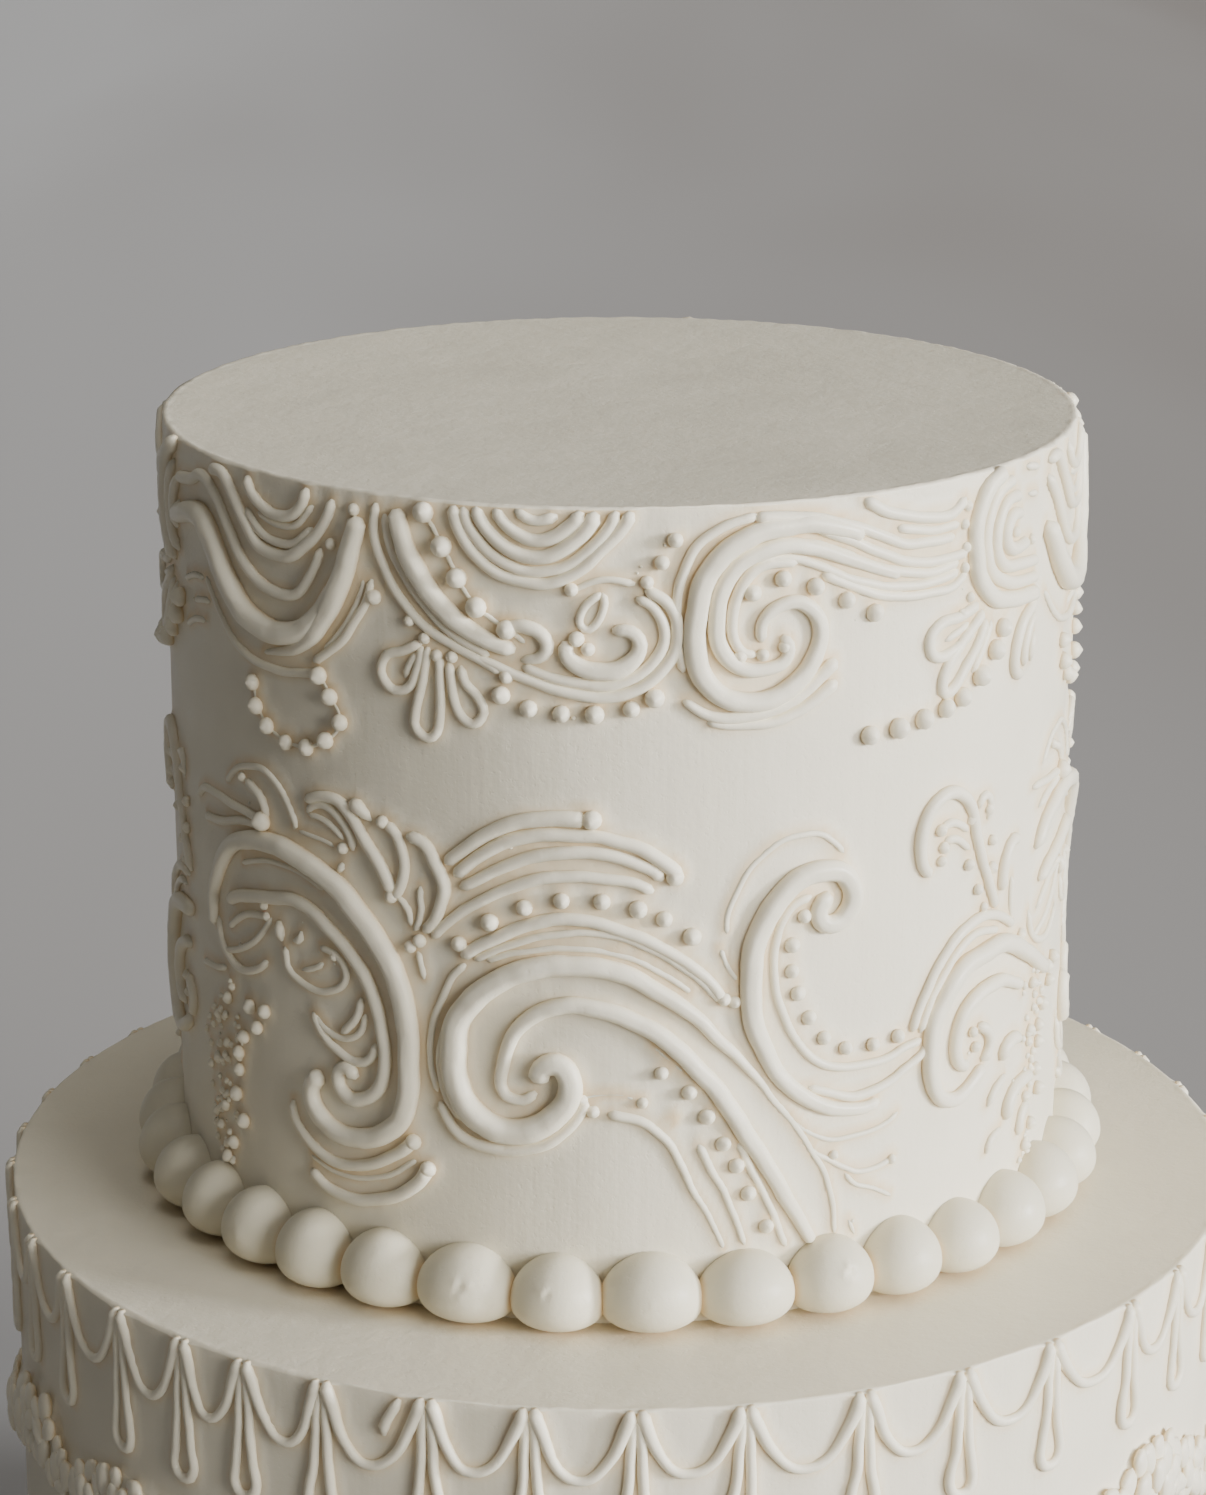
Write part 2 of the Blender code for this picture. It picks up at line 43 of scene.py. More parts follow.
# Each stroke: its widths, evenly along it, then its points.
UPPER = [
    (3.2, 3.8, 4.1, 4.0, 3.6, 2.6, (-91, 120.5), (-86, 122), (-80, 122.8), (-76, 120.6), (-72, 115.5),
     (-67.5, 110.8), (-63, 108.6), (-58, 108), (-53, 109.6), (-49.4, 112.6), (-46.4, 117.4)),
    (0.8, 1.9, 3.1, 3.6, 3.5, 3.0, (-62.5, 104), (-58, 105), (-54, 106.6), (-50, 110), (-46.5, 115.5),
     (-44, 121), (-41.6, 129)),
    (1.2, 1.5, 1.5, (-79, 113), (-76, 109.5), (-71, 105), (-66, 102.5), (-60, 101.8), (-54, 102.3),
     (-50, 103)),
    (1.5, 1.6, 1.4, (-51, 104.6), (-46, 108.3), (-43, 112), (-40.5, 116), (-39.5, 119.5)),
    (0.9, 1.2, 0.9, (-49, 107), (-45.3, 110.6), (-42.4, 115), (-40.9, 119.5)),
    (2.0, 2.1, 2.0, 1.6, (-90, 127), (-84, 127.8), (-80, 129.2), (-76, 128.4), (-72, 124.3), (-68, 119.2),
     (-64, 115.9), (-60, 114.5), (-56, 114.5), (-53, 116), (-50, 120.5), (-49, 123)),
    (2.1, 2.2, 2.1, 1.7, (-76, 131), (-72, 131), (-69, 128), (-66, 124.5), (-63, 121.5), (-59, 120.5),
     (-55, 121), (-51, 124), (-48, 127.5), (-46.5, 131)),
    (1.5, 1.5, (-66, 126.6), (-62.5, 123.6), (-58.5, 122.4), (-54.5, 123), (-50.5, 126)),
    (1.9, 1.9, (-65.5, 131.8), (-64, 129), (-60, 127), (-56, 127), (-53, 129), (-51.5, 132)),
    (1.2, 1.2, (-63, 126.4), (-58, 125.3), (-54, 126), (-50.5, 129.5)),
    (1.2, 1.2, (-88, 110.5), (-84, 112), (-80, 112.5)),
    (1.2, 1.2, (-84, 108), (-78, 109)),
    (1.2, 1.2, (-88, 103), (-84, 104.6), (-80, 105.5)),
    (2.8, 3.4, 3.2, 2.2, (-35, 131), (-33.3, 125), (-29.8, 119.3), (-25.7, 115.1), (-21, 112.2),
     (-16, 110.6)),
    (0.9, 1.0, *BEAD_BRANCH, (-14.3, 111.8)),
    (0.8, 0.8, *BEAD_CHAIN),
    (1.5, 1.5, (-37, 130), (-36.3, 125.5), (-33.5, 120.5), (-29.5, 115.5), (-25.5, 112.2), (-20, 109.5)),
    (1.6, 1.6, (-38.5, 131.5), (-39, 127), (-37, 121), (-33.5, 116), (-29.5, 112.5), (-26, 110.8), (-22, 109),
     (-18, 107)),
    (1.6, 2.3, 2.2, 1.4, (-19, 113.4), (-15.5, 114.5), (-12.5, 113.7), (-11.2, 111.6), (-12.2, 109.7),
     (-15.2, 109)),
    (1.4, 1.9, 2.0, 1.8, (-24, 110), (-20, 108.4), (-15, 106.4), (-9, 104.6), (-4, 103.7), (0.5, 104.2),
     (5, 106.8), (8, 110.8), (8.3, 115), (6.6, 118.6), (3.5, 120.6)),
    (1.5, 1.9, 1.9, 1.5, (-15, 108.2), (-10.5, 106.6), (-5, 105.6), (-0.5, 105.9), (3.6, 108), (6.1, 111.3),
     (6.2, 115), (4.6, 117.8), (2.2, 119.2)),
    (1.2, 1.0, (2, 121.3), (-1.5, 122), (-4.5, 121.6), (-7.3, 120.2)),
    (2.2, 2.8, 2.9, 2.4, 1.8, (-8.4, 112.4), (-8, 109.9), (-5, 108), (-1, 107.9), (2, 109.8), (2.7, 112.2),
     (1.2, 114), (-1.4, 114.2)),
    (1.3, 1.3, (-3, 119.9), (-5.5, 117.8), (-6.4, 115.3), (-5, 114.2), (-3.3, 116), (-2.5, 118.5),
     (-3, 119.9)),
    (2.2, 1.9, 1.9, 2.1, (-25.5, 132.4), (-24.8, 129), (-22, 125), (-18.5, 122.4), (-14, 121.2), (-10, 121.5),
     (-6, 123.6), (-2.5, 127), (0.3, 130.2), (1.5, 132.4)),
    (1.9, 1.8, 1.8, 1.9, (-24, 132.3), (-23, 129), (-20, 125.6), (-16.5, 123.6), (-13, 122.9), (-9, 123.7),
     (-5.3, 126.2), (-2, 129.8), (-0.6, 132.4)),
    (2.0, 2.3, 2.5, (-22.2, 132.4), (-20.3, 129), (-17, 126.4), (-13.5, 125.2), (-9.7, 126), (-6.3, 128.6),
     (-3.6, 132.2)),
    (1.8, 2.2, 2.4, (-19.3, 132.2), (-17, 129.7), (-13.6, 127.9), (-10, 128.5), (-7, 130.6), (-6, 132.4)),
    (1.6, 1.8, (-16, 132.3), (-13, 130.8), (-9.5, 131.6)),
    (1.6, 1.6, (-31, 110.5), (-34, 109), (-37, 108), (-38, 105), (-36, 102.5), (-33, 103.5), (-31.5, 107),
     (-31, 110)),
    (1.4, 1.2, (-31.5, 109), (-33.2, 106.6), (-34, 104.6)),
    (1.6, 1.6, (-30, 110), (-30.8, 105), (-32.3, 99), (-32.3, 97), (-30.3, 95.5), (-28.5, 97), (-28, 101),
     (-28, 106), (-28.3, 109)),
    (1.6, 1.6, (-26.5, 108), (-26, 103), (-24.5, 99.5), (-22.5, 98.5), (-21, 100.5), (-22, 103), (-24, 105),
     (-24.8, 107.5)),
    (1.5, 1.6, 1.5, (20.5, 131.3), (15, 129.6), (11, 126.6), (8.9, 122), (8.2, 117), (8.4, 111.5),
     (9.4, 107.5)),
    (2.4, 3.1, 3.4, 3.4, 3.1, 2.5, 1.7, (38, 126.6), (30, 129.2), (25, 129.2), (20, 128.4), (15.4, 125.8),
     (12.4, 121.6), (11.1, 116), (11, 110.8), (12.5, 106.2), (15.5, 103.3), (20, 102.2), (25, 103.4),
     (28.7, 106.6), (30.7, 111), (30.2, 115), (27.2, 117.3), (23.7, 116.8), (21.5, 114.5), (21.2, 111.5)),
    (1.8, 2.2, 2.7, 2.8, 2.4, 1.8, (45, 119.4), (38.5, 121.9), (32, 124.6), (25, 126.3), (18.6, 124.6),
     (15, 120), (14.2, 114), (15.6, 109.8), (18.4, 107.6), (21.5, 107.1), (24.6, 108), (25.8, 110.3),
     (24.6, 112.2)),
    (1.7, 1.9, 1.8, 1.4, (27, 123.6), (22, 123.6), (18.7, 121.4), (17, 117.6), (16.7, 113.4), (18.2, 110.4),
     (20.6, 109.4)),
    (1.4, 2.0, 2.2, 2.3, (9.3, 103), (13, 100.6), (18, 99.9), (24, 101), (29, 103.7), (33.6, 107.6)),
    (1.2, 1.7, 2.0, 2.2, (13, 99.3), (18, 98.6), (24, 99), (29, 101), (33.7, 104.2)),
    (2.0, 1.8, (38, 132), (43, 129.5), (50, 127.7), (55, 127.5), (58.5, 129.5)),
    (2.0, 1.7, (20, 131), (30, 130), (38, 127.5), (45, 124.5), (50, 123.8), (56, 123.8)),
    (1.8, 1.7, (30, 128.5), (36, 126), (42, 123), (48, 121), (55, 120.5), (59, 121)),
    (1.6, 1.7, (25, 126.6), (30, 125.9), (36, 123.4), (42, 120.8), (50, 119), (57, 119.5)),
    (1.4, 1.7, (20, 124.2), (25, 124.3), (30, 122.9), (35, 120.4), (40, 118.6), (46, 117.5), (52, 117.3),
     (57, 118.3)),
    (1.7, 1.6, (31, 121.3), (35, 119.4), (40, 117.2), (46, 115.9), (52, 115.6), (56, 115.9), (59, 117.6)),
    (1.6, 1.6, (44, 127), (50, 125.7), (57, 125.6)),
    (2.6, 3.0, 3.1, 2.9, 2.6, (68, 132.3), (63.6, 130.2), (61.1, 126), (60.6, 121), (62, 116), (65.5, 112.5),
     (70, 111), (79.4, 110.3)),
    (2.0, 2.3, 2.3, 2.0, (71, 130.4), (66.4, 129), (64, 125.4), (63.5, 120.8), (64.8, 117), (68, 114.5),
     (73, 113.3), (79.4, 112.9)),
    (2.0, 2.2, 2.2, 1.9, (73, 127.5), (69, 127), (66.7, 124.2), (66.1, 120.6), (67.3, 118), (70.4, 116.4),
     (79.4, 115.6)),
    (1.8, 2.4, 2.4, 2.0, (74, 124.2), (71, 124.6), (69, 123), (68.9, 120.5), (71, 119), (76, 119.4)),
    (1.4, 1.4, (75, 131.6), (79.4, 130.6)),
    (1.2, 1.2, (76, 127), (79.4, 126.4)),
    (1.9, 2.0, 1.8, (62, 112), (58, 110.7), (54, 110.5), (51.3, 108.8), (51.2, 106.4), (53.2, 105),
     (57, 105.7), (61, 108)),
    (1.3, 1.3, (54.4, 107.3), (60, 109.3)),
    (1.9, 2.0, 1.8, (63.4, 110.5), (59.4, 107.3), (55.8, 104.3), (54.2, 101.5), (54.3, 99), (56.2, 99.2),
     (58.8, 101.6), (61.4, 104.6), (64.3, 109)),
    (1.5, 1.4, (61, 101), (63.4, 104.4), (65.8, 108.6)),
    (2.0, 2.2, 2.0, (79.2, 109), (75.4, 106.8), (73, 102.8), (72.8, 99), (75, 97.3)),
    (1.8, 1.9, 1.7, (79.4, 106.8), (77, 104.6), (75.8, 101.4), (76.2, 98.8)),
    (1.6, 1.6, (79.5, 103.6), (78.6, 101.6), (78.6, 99)),
]
LOWER = [
    (1.2, 1.2, (-74, 80), (-70, 83.4), (-64.2, 84.6), (-61, 83.6), (-58.3, 81.4), (-56.6, 79), (-55.8, 77),
     (-56.3, 76.4)),
    (1.6, 1.6, (-68.2, 81.7), (-64.6, 80.3), (-63.2, 78.6), (-62.5, 76.9)),
    (1.5, 1.5, (-64, 76), (-70, 76.5), (-78, 77), (-82, 76.8), (-85, 75)),
    (1.5, 1.5, (-64, 75), (-70, 74.5), (-75, 73), (-82, 72)),
    (2.2, 2.9, 3.5, 3.7, 3.7, 3.6, 3.3, 3.0, (-79.5, 54), (-79, 60), (-76, 66), (-72, 70), (-66, 72.3),
     (-59, 72.8), (-52, 71.2), (-46, 68.3), (-41.5, 64), (-38, 59.5), (-35.5, 54.5), (-34.2, 48), (-34, 41),
     (-34.4, 35.5), (-36.5, 30.8), (-40.5, 28), (-45.5, 27), (-50, 28), (-52.8, 31), (-53, 34), (-51, 36.3)),
    (1.0, 1.0, (-70, 67.2), (-65, 69), (-60, 69.7), (-54, 69), (-50, 67.5)),
    (2.2, 2.4, (-74, 60), (-70, 61.7), (-65.6, 62.8), (-60.4, 63.8), (-55.9, 64.5), (-51.8, 63.4),
     (-48.3, 61), (-44.9, 58.3), (-42.1, 55.2), (-40.1, 51), (-38.7, 45.2), (-38.4, 42.5), (-38.8, 38.6),
     (-40.1, 36), (-42.3, 34.1), (-44.9, 33.4), (-47.3, 35.1), (-47.4, 37.6), (-45.6, 38.6), (-43.9, 37.2)),
    (1.3, 1.3, (-63, 60), (-66, 59.5), (-69, 58.8), (-72, 57), (-74.5, 55.2)),
    (1.2, 1.2, (-62, 60), (-64.5, 57), (-68, 54), (-71, 52.3), (-76, 50.5)),
    (1.3, 1.5, 1.3, (-63.3, 52.3), (-66, 50.3), (-70, 48.9), (-74, 49.6), (-77.2, 52.2), (-78, 56)),
    (1.2, 1.2, (-76, 47.6), (-80, 46.6), (-85, 46)),
    (2.0, 1.8, (-60.3, 60), (-59.7, 56.7)),
    (1.5, 1.4, (-55, 59.5), (-55.3, 58), (-57, 57.5)),
    (1.3, 1.3, (-59, 56), (-58.7, 54.5), (-58, 52.4), (-54.9, 50.7), (-50.8, 50.3), (-47.3, 51.7),
     (-45.8, 53.8), (-46.1, 55.8), (-48, 57.3), (-51, 57.8)),
    (1.2, 1.2, (-52.6, 45.8), (-49.5, 43.8), (-46, 43.4), (-43.2, 45.2), (-42, 48.4)),
    (1.1, 1.0, (-50.1, 55.2), (-52.8, 53.8), (-55.2, 52.9)),
    (1.5, 1.5, (-42.8, 51), (-43.7, 47.5), (-47, 44.2)),
    (1.5, 1.7, (-52.8, 46.4), (-50.8, 43.4), (-48.3, 41.4), (-45.2, 40), (-42.5, 40.3), (-40.8, 41.7),
     (-40.1, 43.8)),
    (1.6, 2.2, (-57.8, 30), (-57, 26.5), (-54, 23.8), (-50, 22), (-45, 22), (-40.5, 23.5), (-36.5, 26),
     (-33.5, 28.5)),
    (0.9, 1.1, (-54, 21.5), (-48, 19.8), (-42, 20.5), (-37, 22.5), (-33, 25.5)),
    (1.8, 2.4, (-54, 19), (-50, 16.8), (-45, 16.3), (-40, 17.3), (-36, 19), (-33, 21.5), (-31, 24.3)),
    (1.3, 1.5, (-53.2, 79.7), (-52.1, 80.9), (-50.1, 81.6), (-47.7, 80.9), (-45.6, 79.3), (-44.2, 77.2),
     (-43.9, 75.2)),
    (1.1, 1.2, (-53, 79.5), (-50.1, 79.3), (-47.7, 78.3), (-45.6, 76.6)),
    (1.7, 2.1, 2.2, (-53.5, 81.7), (-50.8, 82.9), (-48, 83.1), (-46, 82.7), (-44, 80.8), (-41.5, 77.5),
     (-39.3, 74.5), (-37.5, 71.5), (-36.7, 69.5)),
    (3.0, 1.2, (-43.9, 83.5), (-42, 82), (-40.3, 80.7)),
    (1.8, 1.8, (-37.7, 81), (-36, 79.3), (-35, 77.2), (-34.4, 74.8), (-34.8, 72.1), (-35.7, 69.7), (-37, 69)),
    (2.0, 2.3, 1.8, (-34, 79.3), (-32.2, 79), (-30.5, 77.9), (-29.1, 75.5), (-28.1, 73.4), (-27.7, 71.4),
     (-28.4, 68.6), (-29.4, 66.2), (-31.2, 63.8)),
    (1.2, 1.2, (-31.7, 71.4), (-31.9, 69.3), (-31.7, 67.6), (-32.2, 65.2), (-33.1, 63.8)),
    (1.3, 1.2, (-36, 69.5), (-34, 67), (-33.5, 64.5)),
    (1.2, 1.1, (-32.4, 60.7), (-31.9, 58.3), (-31.3, 55.9)),
    (1.6, 1.0, (-45.8, 72.8), (-47, 71)),
    (0.9, 0.9, (-55.2, 76.2), (-50.8, 75.9), (-47.3, 75.3)),
    (3.3, 4.1, 4.3, 4.1, 3.6, 3.1, 2.3, 1.3, 1.1, 1.0, (-13, 41), (-12.2, 43.5), (-10, 44.3), (-8.3, 43),
     (-7.8, 40.3), (-8.8, 37.2), (-11.5, 34.5), (-15, 32.8), (-19.1, 32.8), (-22.6, 34.5), (-24.8, 37.2),
     (-26, 40.7), (-26.3, 44.8), (-25.6, 50), (-23.3, 53.5), (-20.2, 56.6), (-16, 59), (-13, 60),
     (-9.8, 60.6), (-6.3, 60.7), (-2.9, 60.3), (1, 59.2), (4.9, 56.9), (8.3, 54.5), (11.8, 51.7),
     (15.2, 47.9), (18.7, 44.1), (22.1, 40), (24.9, 35.9), (27.7, 32.4), (30.1, 28.6), (32.5, 24.5),
     (33.9, 21), (34.9, 16.9), (35.2, 12.4)),
    (1.2, 1.7, 1.4, (-26.4, 52), (-28, 48), (-28.6, 44), (-28.4, 40), (-27.4, 36.4), (-25.3, 33.4)),
    (1.6, 2.2, 2.7, 3.0, 3.1, 3.1, 2.7, 2.0, (-13.2, 39.3), (-15, 37.9), (-16.7, 37.9), (-18.1, 38.6),
     (-18.8, 40.7), (-18.4, 43.8), (-17.7, 46.2), (-16.3, 49.3), (-13.9, 51.7), (-11.2, 53.4), (-8.1, 54.1),
     (-4.6, 53.8), (-1.2, 53), (2.3, 51.5), (4.9, 50), (8.3, 47.2), (11.8, 43.4), (14.6, 40), (17.4, 35.7),
     (20.4, 30.6), (24, 24.6), (27.6, 18), (31.2, 11.6)),
    (1.5, 1.3, (18.4, 30.6), (21.4, 24), (24.2, 17.9), (26.6, 11.7)),
    (1.1, 1.1, (-21, 60.4), (-16, 62.2), (-10, 63.2), (-4, 63.1), (1, 62), (6, 59.4), (11, 56)),
    (1.3, 1.3, (-23, 60.4), (-18, 63), (-12, 65.1), (-6, 66), (0, 65.2), (6, 62.5), (12, 58), (15.5, 54.2)),
    (1.3, 1.2, (-24.4, 59.5), (-26.7, 56.9), (-28.6, 52.8), (-30, 48.6), (-30.5, 43), (-30.2, 40.7),
     (-29.2, 37.6)),
    (1.6, 2.0, 2.1, 1.8, (-29, 36), (-26.7, 32), (-23.4, 29.9), (-19.6, 29.2), (-15.3, 29.6), (-11.2, 31.1),
     (-8.1, 33.6), (-6, 36.8), (-5.4, 38.6)),
    (2.1, 2.1, 1.8, (-25, 60.8), (-20, 64), (-15, 66.6), (-10, 68), (-5, 68), (0, 66.4), (4.9, 64.3),
     (8.3, 62.2), (11.8, 59.5), (14.2, 56.9), (15.9, 54.5)),
    (1.6, 2.0, 1.8, (-29.8, 63.1), (-27.4, 65.9), (-24.6, 68.3), (-21.2, 70.5), (-17.7, 72.4), (-15, 73.7),
     (-11.5, 74.7), (-8.1, 75), (-4.6, 75), (-1.2, 74.7), (2.3, 74), (4.9, 72.6)),
    (1.8, 2.2, 1.9, (-25, 71.9), (-21.2, 74.3), (-16.7, 76.7), (-13.2, 78), (-9.8, 78.8), (-4.6, 79),
     (-1.2, 78.4), (2.3, 77.3), (4.9, 76), (6.3, 74.5)),
    (2.0, 2.3, 2.1, 2.5, (-26, 73.8), (-22.6, 76.9), (-19.1, 79.4), (-15, 81), (-11.5, 81.7), (-4.6, 81.6),
     (-1.2, 81), (2.3, 80), (4.9, 78.6), (7, 76.9), (8.3, 75.5), (8, 74.3)),
    (2.0, 2.4, 2.6, (-27.4, 75.6), (-24.9, 77.9), (-21.9, 80.3), (-19.1, 82.1), (-16, 83.3), (-12.6, 84.1),
     (-8.8, 84.4), (-5.3, 84.3)),
    (1.0, 0.8, (-6.3, 38.5), (-3, 39.3), (0, 39.3), (2.5, 38.5)),
    (1.8, 1.0, (-2, 36.2), (3.2, 34.8), (5.6, 33.1), (7.7, 30.7), (9.4, 27.2), (10.8, 23.8), (12.8, 20.3),
     (14.6, 16.6), (16.3, 12.4)),
    (0.9, 0.8, (7.3, 34.8), (8.7, 35.9), (8.3, 34.1)),
    (1.5, 1.2, (12.1, 30.7), (13.2, 28.3), (14.6, 25.2), (16.3, 22.1), (18, 17.9), (19.7, 12.8)),
    (0.8, 0.8, (5, 47.5), (6.5, 46), (8, 44.5), (10, 42.5)),
    (2.8, 3.5, 3.6, 2.9, 2.0, (33.5, 68.8), (32, 69), (31.2, 67), (32.3, 65.2), (34.8, 65.2), (36.8, 67.5),
     (37, 70.5), (35, 73.3), (31, 74), (27.3, 72.8), (24.6, 70.5), (22.4, 67.2), (20.9, 63.8), (20.2, 59.7),
     (20.2, 55.5), (20.5, 51.4), (21.8, 47.2), (23.3, 43.8), (25.2, 40.7), (28, 37.9), (31.1, 35.5),
     (35.2, 33.8), (39.4, 33.1), (43, 33.5)),
    (1.5, 1.5, (30.1, 70), (27.3, 69), (25.2, 66.2), (24.2, 63.1), (23.9, 59.7), (24.2, 56.2), (25.2, 52.1),
     (26.6, 48.6), (28.7, 45.2), (31.1, 42.8), (34.2, 41), (39.4, 40.3), (44.6, 40.5), (48, 41.4),
     (51.5, 42)),
    (1.4, 1.7, 1.4, (30, 38.3), (36, 35.8), (40, 35.3), (45, 36.3), (48, 37.7), (51.5, 39.5), (53, 41)),
    (1.1, 1.1, (16.3, 65.2), (16.4, 67.9), (17.7, 71.7), (19.7, 75.2), (22.5, 77.9), (25.6, 79.7), (29, 80.2),
     (31.8, 79.7), (34.2, 77.9), (35.6, 76.2)),
    (1.0, 1.0, (15.2, 63.1), (16.3, 60.3), (18.3, 57.2)),
    (0.9, 0.9, (26.6, 33.8), (30.1, 30.7), (33.2, 29), (36.6, 28.4), (41.1, 28.6), (44.6, 29.3), (47, 30.7)),
    (1.0, 1.0, (29, 29.7), (31.4, 26.9), (34.6, 24.8), (37, 23.4), (39.4, 22.1), (42.8, 22.1), (45.9, 22.9)),
    (0.9, 0.8, (37, 22.4), (39, 20), (42.5, 18.6), (46, 16.5)),
    (0.8, 0.8, (37.7, 14.1), (39, 11.5)),
    (2.6, 3.2, 3.3, 2.8, 2.2, (88.8, 43.4), (83.7, 46.9), (78.5, 50), (73.3, 52.8), (69.9, 53.4),
     (64.7, 52.8), (60.6, 52.1), (57.8, 50), (55.7, 47.2), (54, 44.5), (53.3, 40.7), (53.5, 36.6),
     (54.3, 33.4), (56.4, 30.7), (59.5, 29.6), (62.6, 30.7), (65.4, 32.4), (66.8, 33.4)),
    (1.6, 1.9, 1.7, (49.5, 43.8), (50.6, 46.6), (52.3, 50), (54.7, 53.4), (57.8, 56.6), (61.2, 58.6),
     (64.7, 59.3), (68.1, 59), (71.6, 57.6), (75, 55.5)),
    (1.4, 1.6, 1.4, (51.3, 43.2), (52.4, 46), (54.1, 49.2), (56.4, 52.2), (59.2, 54.8), (62.2, 56.4),
     (66, 56.8), (70.4, 55.8)),
    (2.0, 2.5, 2.5, 2.2, (78.5, 43.8), (75, 45.5), (71.6, 46.7), (68.1, 46.9), (64.7, 46.2), (61.6, 44.5),
     (59.9, 41.7), (59.2, 38.6), (60.2, 35.9), (62.6, 34.5)),
    (2.0, 2.0, (65.4, 40.7), (67.8, 39.3), (68.8, 37.2), (68.1, 35.2), (66.4, 34.5)),
    (2.4, 2.3, (72.6, 32.4), (73.7, 34.5), (76.1, 35.2), (78.5, 34.5)),
    (1.6, 1.5, (68.8, 25.5), (70.9, 27.9), (74, 29.5)),
    (2.4, 2.2, (74.7, 21.4), (75, 24.1), (77.1, 25.9), (80.2, 26.6), (83.7, 26.2)),
    (2.0, 1.8, (79.5, 16.9), (80.2, 20.3), (82.6, 22.1)),
    (1.5, 1.4, (68.8, 17.2), (70.2, 19.3), (73.3, 20.3)),
    (2.0, 2.3, 2.2, 1.9, 1.8, (52.6, 69.3), (50.9, 71.4), (50.2, 74.8), (50.9, 77.9), (52.6, 80.7),
     (55, 82.1), (57.8, 82.1), (60.2, 80.7), (61.6, 78.6), (62.6, 76.2), (63.3, 73.4), (64.7, 70),
     (66.1, 66.6), (67.8, 63.1), (69.2, 60)),
    (1.6, 1.4, (54.7, 76.6), (56.8, 77.2), (58.8, 76.6), (61.2, 74.8)),
    (1.5, 1.3, (55.7, 74.5), (58.5, 74.1), (61.9, 71.7)),
    (1.6, 1.5, (64, 77.9), (64.3, 79.3), (66.1, 79.7), (67.1, 77.9), (66.4, 75.5)),
    (2.1, 2.1, (70.9, 62.4), (71.2, 65.9), (72.3, 68.6), (74, 70), (76.1, 69.7)),
    (1.2, 1.1, (74.3, 63.8), (74.3, 59), (75, 56.2)),
]
# Single beads and blobs: width, then their places.
UPPER_DOTS = [
    (2.8, *BEAD_CHAIN),
    (2.0, (-47, 124), (-42.5, 130), (-42, 127.5)),
    (2.4, (-39, 116.8), (-17.4, 106.4), (-5, 111.2), (-6.7, 112.8)),
    (3.3, *BEAD_BRANCH),
    (2.9, (-18.2, 103.5), (-14, 101.6), (-9, 101), (-4, 101), (1.5, 101.9), (5, 103.6)),
    (2.2, (3.8, 121.6), (6, 124.6), (8, 128), (-7.5, 120.4)),
    (1.9, (-33, 113.8), (-30.5, 111.3), (-28.5, 108.8), (-26, 108.8)),
    (2.8, (19.8, 119.4), (24.6, 121.2), (29.9, 119.5), (35.2, 116.8), (40.2, 114.2)),
    (2.2, (18, 109.5), (21.5, 109.5), (25, 110.5)),
    (1.9, (72, 121.6), (77.4, 119.3), (60, 113.4), (58, 111), (58.4, 118.4), (58.6, 121.6), (58.2, 125.4),
     (58.8, 128.2)),
    (3.3, (39.8, 94.7), (45.2, 95), (50.2, 95.6), (54.9, 96.5), (58.6, 97.6), (63, 100.2), (66.8, 103.6),
     (68.6, 106.8)),
]
LOWER_DOTS = [
    (3.4, (-63.5, 76)),
    (1.7, (-69, 82), (-63.8, 61.8), (-63.3, 60), (-48, 56.9), (65.9, 60.9), (34.7, 26), (45.9, 22.9)),
    (2.4, (-68.4, 43.1), (-64.4, 43.4), (-66.6, 40), (-70.6, 37.2), (-72.2, 34), (-72.2, 31), (-73.2, 26.5),
     (-71.2, 22.3), (-74.7, 17.3), (-77, 14.2)),
    (2.0, (-75.5, 42.5), (-79, 38.6), (-76.2, 34.4), (-79.5, 30.6), (-77.3, 23), (-79.2, 19)),
    (2.7, (-33.5, 28.5), (-31, 24.3)),
    (2.1, (-45.8, 75.3), (-38.2, 80.9), (-36.8, 69), (-32, 62.4), (-33.6, 61.2)),
    (2.8, (-25.3, 62.8), (-20.3, 66.9), (-14.8, 69.7), (-9.1, 71.1), (-2.9, 71.1), (2.6, 69.9), (6.6, 68.2),
     (10.9, 65.2)),
    (2.9, (-4.4, 84.3), (8.2, 75)),
    (2.2, (16, 54.6), (17.6, 54)),
    (2.0, (3.3, 38), (6.3, 42.9), (-4.3, 36.5), (-6, 38.4)),
    (2.6, (10.6, 39.5), (13.4, 35.3), (16, 30.5), (18.2, 26.6), (20.2, 21.7), (23.2, 15.7)),
    (2.4, (28.9, 66.9), (26.9, 62.4), (26.9, 58.1), (28, 54.3), (29.9, 50), (32.6, 46.2), (36.5, 43.8),
     (41.7, 43.4), (46.5, 43.8)),
    (1.9, (64, 40), (64.7, 37.2), (55, 71.2), (55.4, 73.4), (61.9, 76.6), (66.6, 77.2), (63.3, 52.4),
     (54.7, 76.4)),
    (2.0, (61.6, 69.1), (64.2, 64.3), (67.8, 67.1), (67.8, 71.7), (78.1, 52.8)),
]

# How far to the left and right of its middle each repeat of the relief reaches, so that no two overlap. The
# first one is in front.
PANEL_ENDS = [(-95, 95), (-79, 79.6), (-79.6, 70)]
BACK_COARSE = 1.4  # the others may be coarser

# The cluster of tiny beads, from its top down: shares of its length, then where its middle is across there or
# how far it reaches to either side.
CLUSTER_MIDDLE = (0, 0.3, 0.55, 1), (-73, -79, -80, -77.5)
CLUSTER_REACH = (0, 0.3, 0.8, 1), (4, 7, 5, 2)
CLUSTER_TOP, CLUSTER_LONG = 44, 31
TINY_BEADS = 64
GRAINS = 26  # on each frieze of each repeat

